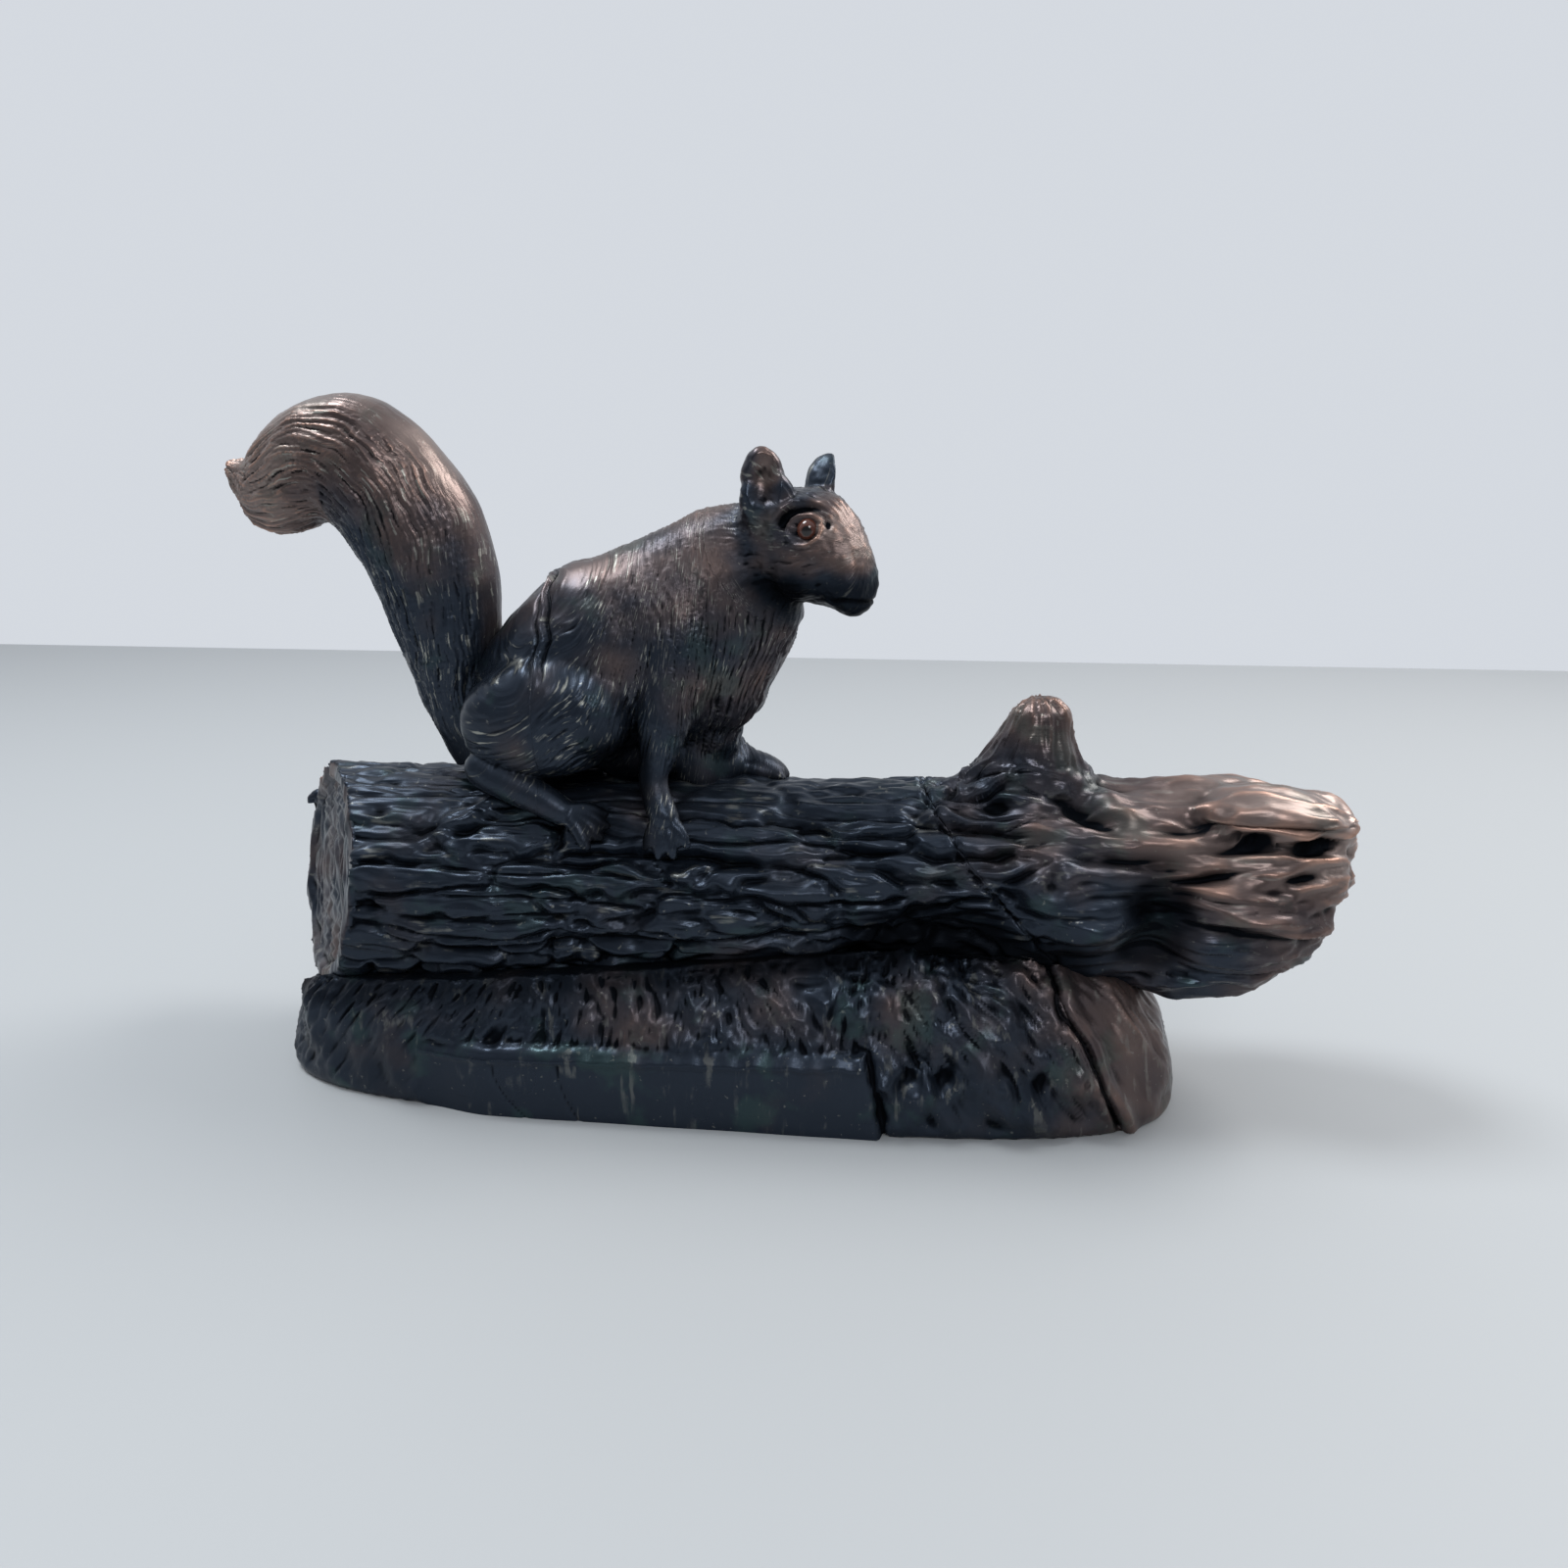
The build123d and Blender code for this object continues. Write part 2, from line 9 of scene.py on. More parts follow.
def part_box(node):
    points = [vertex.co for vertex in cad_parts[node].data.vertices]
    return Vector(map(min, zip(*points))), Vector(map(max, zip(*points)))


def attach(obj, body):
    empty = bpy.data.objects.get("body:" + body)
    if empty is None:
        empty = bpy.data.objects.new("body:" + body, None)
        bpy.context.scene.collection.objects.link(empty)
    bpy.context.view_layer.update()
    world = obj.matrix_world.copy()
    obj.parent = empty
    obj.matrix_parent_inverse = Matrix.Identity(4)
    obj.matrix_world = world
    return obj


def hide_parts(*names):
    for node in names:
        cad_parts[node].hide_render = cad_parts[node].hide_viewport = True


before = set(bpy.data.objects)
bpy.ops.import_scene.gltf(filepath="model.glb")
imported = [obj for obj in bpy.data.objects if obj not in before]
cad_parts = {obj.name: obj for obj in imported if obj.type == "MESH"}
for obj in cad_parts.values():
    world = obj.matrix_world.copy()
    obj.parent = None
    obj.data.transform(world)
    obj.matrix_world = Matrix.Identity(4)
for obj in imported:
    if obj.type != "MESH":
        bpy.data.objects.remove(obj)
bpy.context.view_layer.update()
mm = 0.001

# Shapes are worked out in millimetres from the middle of the base and scaled once they are finished
coverLow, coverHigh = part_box("base_cover")
baseMiddle = Vector(((coverLow.x + coverHigh.x) / 2, (coverLow.y + coverHigh.y) / 2, 0))
toScene = Matrix.Translation(baseMiddle) @ Matrix.Scale(mm, 4)


# Shape helpers

def swell(value, low, high):
    share = min(max((value - low) / (high - low), 0), 1)
    return share * share * (3 - 2 * share)


def ripple(x, y, z):
    return noise.noise(Vector((x, y, z)))


def ridge(x, y, z):  # sharp crests between soft hollows, from -1 to 1
    return 1 - 2 * abs(noise.noise(Vector((x, y, z)))) * 1.6


def peak(value, width, power=2):  # 1 at nothing, falling away softly over the width
    return math.exp(-((value / width) ** power))


def between(a, b, c, d, t):  # a share t of the way from b to c on a smooth curve through all four
    bend = 2 * a - 5 * b + 4 * c - d
    twist = 3 * b - a - 3 * c + d
    return 0.5 * (2 * b + (c - a) * t + bend * t * t + twist * t ** 3)


def finer(rows, steps=6):  # curved rows between the given ones
    made = []
    for index in range(len(rows) - 1):
        before, here = rows[max(index - 1, 0)], rows[index]
        ahead, after = rows[index + 1], rows[min(index + 2, len(rows) - 1)]
        for step in range(steps):
            t = step / steps
            made.append(tuple(between(*values, t) for values in zip(before, here, ahead, after)))
    return made + [tuple(rows[-1])]


def joinRings(bm, rings):  # walls between neighbouring circles and a lid at each end
    loops = [list({edge for vert in ring["verts"] for edge in vert.link_edges}) for ring in rings]
    for near, far in zip(loops, loops[1:]):
        bmesh.ops.bridge_loops(bm, edges=near + far)
    for end in (loops[0], loops[-1]):
        bmesh.ops.contextual_create(bm, geom=end)


def addRings(bm, rings, segments):  # each ring is a middle, a heading, a half size across and one upwards
    made = []
    for place, heading, halfSide, halfUp in rings:
        way = Vector(heading).normalized()
        side = (Vector((0, 1, 0)) - way * way.y).normalized()
        turn = Matrix((side * halfSide, way.cross(side) * halfUp, way)).transposed().to_4x4()
        fit = Matrix.Translation(place) @ turn
        made.append(bmesh.ops.create_circle(bm, segments=segments, radius=1, matrix=fit))
    joinRings(bm, made)


def addBall(bm, place, halves, turn=(0, 0, 0), within=None):
    spin = Euler([math.radians(angle) for angle in turn]).to_matrix().to_4x4()
    fit = Matrix.Translation(place) @ spin @ Matrix.Diagonal((*halves, 1))
    if within:
        fit = within @ fit
    bmesh.ops.create_icosphere(bm, subdivisions=4, radius=1, matrix=fit)


def addLimb(bm, rows, segments=24):  # rows of x, y, z and radius
    rows = finer(rows)
    rings = []
    for index, (x, y, z, radius) in enumerate(rows):
        behind, ahead = rows[max(index - 1, 0)], rows[min(index + 1, len(rows) - 1)]
        rings.append(((x, y, z), Vector(ahead[:3]) - Vector(behind[:3]), radius, radius))
    addRings(bm, rings, segments)
    for x, y, z, radius in (rows[0], rows[-1]):
        addBall(bm, (x, y, z), (radius, radius, radius))


def cutAway(bm, place, normal, far=True):  # clears one side of a plane and closes the cut
    everything = list(bm.verts) + list(bm.edges) + list(bm.faces)
    bmesh.ops.bisect_plane(
        bm, geom=everything, plane_co=place, plane_no=normal, clear_outer=far, clear_inner=not far
    )
    rims = [edge for edge in bm.edges if edge.is_boundary]
    return bmesh.ops.holes_fill(bm, edges=rims, sides=0)["faces"]


def newObject(name, data):
    made = bpy.data.objects.new(name, data)
    bpy.context.scene.collection.objects.link(made)
    return made


def toObject(bm, name):
    bmesh.ops.recalc_face_normals(bm, faces=bm.faces)
    mesh = bpy.data.meshes.new(name)
    bm.to_mesh(mesh)
    bm.free()
    return newObject(name, mesh)


def settle(piece):  # the mesh takes what its modifiers make
    graph = bpy.context.evaluated_depsgraph_get()
    mesh = bpy.data.meshes.new_from_object(piece.evaluated_get(graph))
    piece.modifiers.clear()
    piece.data = mesh


def fuse(bm, name, voxel, rounds, cutters=()):  # one closed skin over all the forms
    piece = toObject(bm, name)
    for cutter in cutters:
        cut = piece.modifiers.new("cut", "BOOLEAN")
        cut.operation = "DIFFERENCE"
        cut.object = cutter
    skin = piece.modifiers.new("skin", "REMESH")
    skin.mode = "VOXEL"
    skin.voxel_size = voxel
    soften = piece.modifiers.new("soften", "SMOOTH")
    soften.factor = 0.5
    soften.iterations = rounds
    settle(piece)
    for cutter in cutters:
        bpy.data.objects.remove(cutter)
    return piece


def dents(place, marks):  # rise or fall of the chosen marks at a place, seen from the side
    total = 0
    for x, z, halfLength, halfHeight, turn, rise in marks:
        across, up = place.x - x, place.z - z
        if abs(across) < 2.2 * halfLength + halfHeight:
            lean = math.radians(turn)
            u = (across * math.cos(lean) + up * math.sin(lean)) / halfLength
            v = (up * math.cos(lean) - across * math.sin(lean)) / halfHeight
            total += rise * math.exp(-u * u - v * v)
    return total


def store(mesh, name, values):  # one number for each point, which the materials read
    mesh.attributes.new(name, "FLOAT", "POINT").data.foreach_set("value", values)


def carve(piece, rule):  # the rule gives each point's new place, copper, place in the fur's flow, and painted shade with a little grime
    mesh = piece.data
    copper = np.zeros(len(mesh.vertices), np.float32)
    painted_shade_and_grime = np.zeros(len(mesh.vertices), np.float32)
    flow = np.zeros((len(mesh.vertices), 3), np.float32)
    normals = [vertex.normal.copy() for vertex in mesh.vertices]
    for vertex, normal in zip(mesh.vertices, normals):
        index = vertex.index
        vertex.co, copper[index], flow[index], painted_shade_and_grime[index] = rule(vertex.co.copy(), normal)
    store(mesh, "copper", copper)
    store(mesh, "painted_shade_and_grime", painted_shade_and_grime)
    mesh.attributes.new("flow", "FLOAT_VECTOR", "POINT").data.foreach_set("vector", flow.ravel())
    mesh.update()


def markRelief(piece, rounds, reach):  # how far each point stands above its blurred surroundings
    mesh = piece.data
    count = len(mesh.vertices)
    places = np.zeros(count * 3, np.float32)
    mesh.vertices.foreach_get("co", places)
    places = places.reshape(-1, 3)
    edges = np.zeros(len(mesh.edges) * 2, np.int32)
    mesh.edges.foreach_get("vertices", edges)
    edges = edges.reshape(-1, 2)
    normals = np.array([vertex.normal for vertex in mesh.vertices])
    share = np.bincount(edges.ravel(), minlength=count)[:, None]
    blurred = places.copy()
    for _ in range(rounds):
        total = np.stack([
            np.bincount(edges[:, 0], blurred[edges[:, 1], axis], count)
            + np.bincount(edges[:, 1], blurred[edges[:, 0], axis], count)
            for axis in range(3)
        ], axis=1)
        blurred = 0.3 * blurred + 0.7 * total / share
    height = ((places - blurred) * normals).sum(axis=1) / reach
    store(mesh, "relief", np.clip(0.5 + 0.5 * height, 0, 1).astype(np.float32))


def halve(piece, name, place, normal):  # the piece keeps what lies behind the plane, a new one the rest
    halves = []
    for clearFar in (True, False):
        bm = bmesh.new()
        bm.from_mesh(piece.data)
        lids = cutAway(bm, place, normal, clearFar)
        bmesh.ops.triangulate(bm, faces=lids)
        halves.append(bm)
    halves[0].to_mesh(piece.data)
    mesh = bpy.data.meshes.new(name)
    halves[1].to_mesh(mesh)
    for bm in halves:
        bm.free()
    return newObject(name, mesh)


def finish(piece, node, material):  # stands the piece in for its solid
    piece.data.transform(toScene)
    piece.data.materials.clear()
    piece.data.materials.append(material)
    for face in piece.data.polygons:
        face.use_smooth = True
    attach(piece, "root")
    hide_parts(node)
    print(node, "triangles", sum(len(face.vertices) - 2 for face in piece.data.polygons))


# Materials

def newTree(name):
    material = bpy.data.materials.new(name)
    material.use_nodes = True
    tree = material.node_tree
    return material, tree, tree.nodes["Principled BSDF"]


def addNode(tree, kind, **values):
    node = tree.nodes.new(kind)
    for key, value in values.items():
        setattr(node, key, value)
    return node


def setInputs(node, **values):
    for key, value in values.items():
        node.inputs[key.replace("_", " ")].default_value = value


def mixOf(tree, mask, low, high):
    node = addNode(tree, "ShaderNodeMix", data_type="RGBA")
    tree.links.new(mask, node.inputs["Factor"])
    for socket, source in ((node.inputs["A"], low), (node.inputs["B"], high)):
        if isinstance(source, tuple):
            socket.default_value = (*source, 1)
        else:
            tree.links.new(source, socket)
    return node.outputs["Result"]


def rangeOf(tree, value, low, high, toLow=0.0, toHigh=1.0):
    node = addNode(tree, "ShaderNodeMapRange", interpolation_type="SMOOTHSTEP")
    tree.links.new(value, node.inputs["Value"])
    setInputs(node, From_Min=low, From_Max=high, To_Min=toLow, To_Max=toHigh)
    return node.outputs["Result"]


def noiseOf(tree, vector, scale, detail, stretch=(1, 1, 1)):
    mapping = addNode(tree, "ShaderNodeMapping")
    mapping.inputs["Scale"].default_value = stretch
    tree.links.new(vector, mapping.inputs["Vector"])
    node = addNode(tree, "ShaderNodeTexNoise")
    setInputs(node, Scale=scale, Detail=detail)
    tree.links.new(mapping.outputs["Vector"], node.inputs["Vector"])
    return node.outputs["Fac"]


def worked(tree, operation, first, second):
    node = addNode(tree, "ShaderNodeMath", operation=operation)
    for socket, source in zip(node.inputs, (first, second)):
        if isinstance(source, float):
            socket.default_value = source
        else:
            tree.links.new(source, socket)
    return node.outputs["Value"]


def multiplied(tree, first, second):
    return worked(tree, "MULTIPLY", first, second)


def added(tree, first, second):
    return worked(tree, "ADD", first, second)


def bumpOf(tree, height, strength, depth):
    node = addNode(tree, "ShaderNodeBump")
    setInputs(node, Strength=strength, Distance=depth)
    tree.links.new(height, node.inputs["Height"])
    return node


patinaLook = {
    # deepColour is the dark of the patina's hollows and of the painted shade
    "deepColour": (0.004, 0.005, 0.007),
    "patinaColour": (0.022, 0.031, 0.047),
    "brownColour": (0.118, 0.084, 0.077),
    "polishedColour": (0.25, 0.195, 0.175),
    "copperColour": (0.50, 0.29, 0.215),
    "palerColour": (0.36, 0.36, 0.32),
    "verdigrisColour": (0.050, 0.115, 0.095),
    "cloudScale": 90.0,
    "speckleScale": 1100.0,
    "patchScale": 220.0,
    "verdigrisScale": 160.0,
    "castStrength": 0.35,
    "castDepth": 0.04,  # in millimetres
    "strokeStrength": 0.8,
    "metallic": 0.72,
}


def patinaGroup():
    look = patinaLook
    tree = bpy.data.node_groups.new("castPatina", "ShaderNodeTree")
    for name, kind, start in (
        ("Vector", "NodeSocketVector", None),
        ("Lines", "NodeSocketFloat", 0.5),
        ("Relief", "NodeSocketFloat", 0.5),
        ("Copper", "NodeSocketFloat", 0.0),
        ("Painted_shade_and_grime", "NodeSocketFloat", 0.0),
        ("Verdigris", "NodeSocketFloat", 0.1),
        ("Dust", "NodeSocketFloat", 0.2),
    ):
        socket = tree.interface.new_socket(name=name, in_out="INPUT", socket_type=kind)
        if start is not None:
            socket.default_value = start
    for name, kind in (
        ("Color", "NodeSocketColor"),
        ("Roughness", "NodeSocketFloat"),
        ("Shine", "NodeSocketFloat"),
        ("Height", "NodeSocketFloat"),
    ):
        tree.interface.new_socket(name=name, in_out="OUTPUT", socket_type=kind)
    given = addNode(tree, "NodeGroupInput").outputs
    cloudy = noiseOf(tree, given["Vector"], look["cloudScale"], 5.0)
    speckle = noiseOf(tree, given["Vector"], look["speckleScale"], 3.0)
    patches = noiseOf(tree, given["Vector"], look["patchScale"], 6.0)
    crest = rangeOf(tree, given["Relief"], 0.54, 0.82)
    hollow = rangeOf(tree, given["Relief"], 0.46, 0.20)
    warm = added(tree, given["Copper"], multiplied(tree, added(tree, cloudy, -0.5), 0.9))
    brown = rangeOf(tree, warm, 0.05, 0.55)
    rubbed = multiplied(tree, crest, rangeOf(tree, warm, 0.22, 0.90))
    cast = mixOf(tree, brown, look["patinaColour"], look["brownColour"])
    cast = mixOf(tree, rangeOf(tree, warm, 0.45, 0.95), cast, look["polishedColour"])
    worn = mixOf(tree, multiplied(tree, rubbed, 0.85), cast, look["copperColour"])
    strokeTops = rangeOf(tree, given["Lines"], 0.57, 0.68)
    streaks = multiplied(tree, strokeTops, rangeOf(tree, patches, 0.44, 0.60))
    dust = multiplied(tree, streaks, given["Dust"])
    flecks = multiplied(tree, rangeOf(tree, speckle, 0.66, 0.76), 0.35)
    chalk = added(tree, dust, flecks)
    dusted = mixOf(tree, chalk, worn, look["palerColour"])
    blooms = noiseOf(tree, given["Vector"], look["verdigrisScale"], 6.0)
    green = multiplied(tree, rangeOf(tree, blooms, 0.54, 0.68), given["Verdigris"])
    greened = mixOf(tree, green, dusted, look["verdigrisColour"])
    # the patina's dark hollows, with the painted shade and grime of the points laid over them
    dark = added(tree, multiplied(tree, hollow, 0.9), given["Painted_shade_and_grime"])
    shaded = mixOf(tree, dark, greened, look["deepColour"])
    rough = added(tree, rangeOf(tree, cloudy, 0.30, 0.70, 0.27, 0.42), multiplied(tree, dark, 0.15))
    output = addNode(tree, "NodeGroupOutput")
    tree.links.new(shaded, output.inputs["Color"])
    tree.links.new(rough, output.inputs["Roughness"])
    # specular level falls in the painted shade and the dark hollows, so they show no reflection there
    tree.links.new(rangeOf(tree, dark, 0.0, 0.9, 0.5, 0.02), output.inputs["Shine"])
    tree.links.new(speckle, output.inputs["Height"])
    return tree


castPatina = patinaGroup()


def castMetal(name, verdigris, dust, strokes, strokeDepth, onFlow):
    material, tree, shader = newTree(name)
    objectPlace = addNode(tree, "ShaderNodeTexCoord").outputs["Object"]
    patina = addNode(tree, "ShaderNodeGroup", node_tree=castPatina)
    setInputs(patina, Verdigris=verdigris, Dust=dust)
    tree.links.new(objectPlace, patina.inputs["Vector"])
    for attribute in ("relief", "copper", "painted_shade_and_grime"):
        reader = addNode(tree, "ShaderNodeAttribute", attribute_name=attribute)
        tree.links.new(reader.outputs["Fac"], patina.inputs[attribute.capitalize()])
    way = objectPlace
    if onFlow:
        way = addNode(tree, "ShaderNodeAttribute", attribute_name="flow").outputs["Vector"]
    lines = noiseOf(tree, way, 1.0, 3.0, strokes)
    tree.links.new(lines, patina.inputs["Lines"])
    look = patinaLook
    fine = bumpOf(tree, patina.outputs["Height"], look["castStrength"], look["castDepth"] * mm)
    stroke = bumpOf(tree, lines, look["strokeStrength"], strokeDepth * mm)
    tree.links.new(fine.outputs["Normal"], stroke.inputs["Normal"])
    tree.links.new(patina.outputs["Color"], shader.inputs["Base Color"])
    tree.links.new(patina.outputs["Roughness"], shader.inputs["Roughness"])
    tree.links.new(patina.outputs["Shine"], shader.inputs["Specular IOR Level"])
    tree.links.new(stroke.outputs["Normal"], shader.inputs["Normal"])
    setInputs(shader, Metallic=look["metallic"])
    return material


# Log with its stub and broken end

log = {
    "rows": [  # x, height of the axis, half height, half depth
        (-82.0, 27.5, 16.8, 16.8), (-76.0, 27.5, 16.8, 16.8), (-49.8, 27.6, 16.8, 16.8),
        (-25.2, 28.2, 16.2, 16.4), (-0.1, 29.8, 14.6, 15.8), (19.9, 30.8, 13.5, 15.0),
        (38.0, 31.1, 13.8, 14.6), (55.2, 31.0, 14.0, 14.4), (66.0, 31.0, 14.2, 13.8),
        (74.9, 31.4, 13.4, 12.9), (80.5, 32.6, 11.6, 11.6), (83.6, 34.2, 9.6, 9.6),
        (85.6, 36.0, 6.4, 7.0), (86.6, 37.0, 3.0, 4.0),
    ],
    "stubRows": [  # x, height, half length, half depth
        (42.0, 34.5, 16.5, 10.2), (42.4, 41.5, 14.0, 8.4), (43.2, 45.6, 9.6, 6.6),
        (43.9, 49.4, 6.4, 5.2), (44.4, 52.6, 4.8, 4.3), (45.0, 55.4, 3.7, 3.5), (45.3, 57.0, 1.9, 1.8),
    ],
    "plates": [  # middle, half sizes and turn of the plates and splinters at the broken end
        ((74.5, -3.5, 42.0), (12.5, 8.0, 3.4), (0, 1, 0)),
        ((74.0, 5.0, 39.5), (12.0, 6.5, 4.6), (0, 2, -4)),
        ((71.5, -8.0, 28.6), (10.5, 5.0, 3.2), (0, 6, 6)),
        ((68.0, -3.0, 20.6), (12.0, 8.0, 3.8), (0, -5, 4)),
        ((77.0, 2.0, 31.0), (9.0, 8.5, 6.8), (0, 0, 0)),
        ((70.0, 7.0, 24.0), (10.0, 6.0, 5.0), (0, -6, -6)),
    ],
    "twigRows": [  # x, y, height and radius, on the far side by the sawn face
        (-57.0, 12.6, 30.5, 1.7), (-65.0, 14.6, 32.2, 1.5), (-70.2, 15.8, 34.8, 1.2),
        (-72.0, 16.0, 34.2, 0.8),
    ],
    "marks": [  # x and height on the near side, half length, half height, turn in degrees, rise or fall
        (-33.0, 40.8, 7.5, 0.75, 26, 1.2), (-33.5, 39.2, 7.0, 0.9, 26, -0.7),
        (-47.0, 40.6, 1.5, 0.6, -5, -0.9), (38.6, 43.4, 2.4, 1.0, -5, -1.8),
        (41.5, 44.6, 2.2, 0.7, -10, 0.6), (51.4, 42.5, 4.6, 1.2, -20, -2.2),
        (54.5, 43.6, 2.8, 1.1, -20, 0.9), (57.4, 38.2, 6.5, 1.4, 0, -1.3), (55.0, 40.2, 6.0, 1.1, 0, 0.6),
        (60.6, 31.5, 4.6, 4.4, 0, -4.6), (59.6, 24.0, 4.6, 3.0, 0, -3.4), (76.0, 42.4, 6.4, 1.3, -3, -3.0),
        (72.0, 45.6, 11.0, 1.8, -2, 1.0), (72.0, 31.2, 9.5, 1.7, -13, 2.4),
        (73.0, 27.6, 8.0, 1.2, -9, -1.4), (78.0, 36.0, 3.4, 1.0, 12, -1.8), (67.0, 36.2, 4.4, 0.8, 8, -1.5),
        (79.5, 39.4, 3.0, 0.9, 10, -1.6), (70.0, 39.6, 5.0, 0.8, 6, -1.3),
        (66.0, 33.2, 4.0, 0.7, -12, -1.2), (64.0, 41.8, 5.0, 0.7, 4, -1.1), (45.8, 34.8, 3.6, 4.4, 0, 2.3),
        (45.8, 35.2, 1.3, 1.7, 0, -1.8), (50.5, 28.2, 6.5, 2.4, 5, 2.4), (31.0, 26.6, 12.0, 4.6, 5, -3.0),
        (14.0, 41.0, 7.0, 1.1, -3, -1.5), (22.0, 38.0, 5.0, 1.2, 14, -1.2), (16.0, 36.6, 8.0, 1.3, 2, 1.0),
        (2.0, 33.0, 9.0, 1.2, -3, 0.9), (-8.0, 24.0, 11.0, 1.0, 3, -1.4), (-30.0, 22.0, 12.0, 0.9, 4, -1.3),
        (-50.5, 32.4, 8.5, 2.8, -2, 0.7), (-51.0, 28.6, 10.0, 0.7, -1, -1.1),
    ],
    "markFacing": 0.35,  # the marks stay on skin whose normal has less y than this
    "facePlace": (-61.6, 0.0, 27.6),
    "faceTurn": 35.0,
    "faceTilt": 9.0,
    "faceDepth": 0.9,  # how far the face lies behind its rim of bark
    "ringCount": 8.0,
    "ringDepth": 0.18,
    "seamPlace": (43.0, 0.0, 27.6),
    "seamLean": 40.0,
    "plateLength": 17.0,
    "plateWidth": 5.0,
    "barkDepth": 1.25,
    "crevice": (20.5, 0.115, 44.0),  # height over the middle, rise along x, and the x where the rise ends
    "segments": 72,
    "stubSegments": 32,
    "twigSegments": 12,
    "voxel": 0.39,
    "smoothing": 4,
    "relief": (14, 0.55),  # rounds of blurring, and the height that counts as full
}
faceTurn, faceTilt = math.radians(log["faceTurn"]), math.radians(log["faceTilt"])
faceNormal = Vector((
    -math.cos(faceTurn) * math.cos(faceTilt),
    -math.sin(faceTurn) * math.cos(faceTilt),
    math.sin(faceTilt),
))
facePlace = Vector(log["facePlace"])
seamLean = math.radians(log["seamLean"])
logSeamNormal = Vector((math.cos(seamLean), 0, math.sin(seamLean)))
logSeamPlace = Vector(log["seamPlace"])
logRows = np.array(finer(log["rows"]))


def logAt(x):  # height of the axis, half height, half depth
    return [float(np.interp(x, logRows[:, 0], logRows[:, column])) for column in (1, 2, 3)]


def creviceAt(x):  # height at which the log meets the mound on the near side
    height, rise, end = log["crevice"]
    return height + rise * min(x, end)


def onLog(place, clear):  # pushes a place out of the log, grown by the clearance
    axis, halfUp, halfSide = logAt(place.x)
    reach = math.hypot(place.y / (halfSide + clear), (place.z - axis) / (halfUp + clear))
    if 0 < reach < 1:
        return Vector((place.x, place.y / reach, axis + (place.z - axis) / reach))
    return place


def barkLift(x, y, z, warp):  # plates with grooves between them, calmer on top and near the sawn face
    wander = ripple(x / 3.2, y / 2.4, z / 2.4)
    near, points = noise.voronoi(Vector((
        x / log["plateLength"] + 0.28 * warp,
        (y + 1.5 * warp + 0.6 * wander) / log["plateWidth"],
        (z + 1.6 * ripple(x / 8, z / 5, 7) + 0.6 * wander) / log["plateWidth"],
    )))
    gap = near[1] - near[0]
    groove = 1 - swell(gap, 0.02, 0.19)
    rim = peak(gap - 0.27, 0.10)
    level = ripple(3.1 * points[0].x, 3.3 * points[0].y, 3.7 * points[0].z)
    gouge = swell(ridge(x / 19, y / 3.8, z / 3.8 + 9), 0.55, 0.95)
    calm = swell(z, 39, 43) * (1 - swell(x, 22, 34)) + 0.50 * (1 - swell(x, -34, -14))
    rugged = 1 - 0.7 * min(calm, 1)
    lift = rugged * log["barkDepth"] * (0.22 * rim + 0.45 * level - groove) - gouge * (0.25 + 0.65 * rugged)
    return lift + 0.30 * ripple(x / 5.5, y / 1.7, z / 1.7) + 0.16 * ridge(x / 6, y / 1.1, z / 1.1)


def tornLift(x, y, z, warp):  # ledges and layers of the broken end
    ledges = 1.1 * ripple(x / 26, y / 6, z / 4.2) + 0.8 * ripple(x / 9, y / 5, z / 4)
    layers = 0.50 * ridge((x + 4 * warp) / 20, y / 4.4, z / 2.7) + 0.26 * ridge(x / 9, y / 2.2, z / 1.4)
    return ledges + layers - 0.45 + 0.28 * ripple(x / 3, y / 2, z / 1.6)


def stubLift(x, y, z):  # upright grooves round the stub
    turn = math.atan2(y, x - log["stubRows"][3][0])
    return 0.34 * ridge(2.6 * turn, 0.3, z / 9) + 0.12 * ridge(6 * turn, 4, z / 5) - 0.15


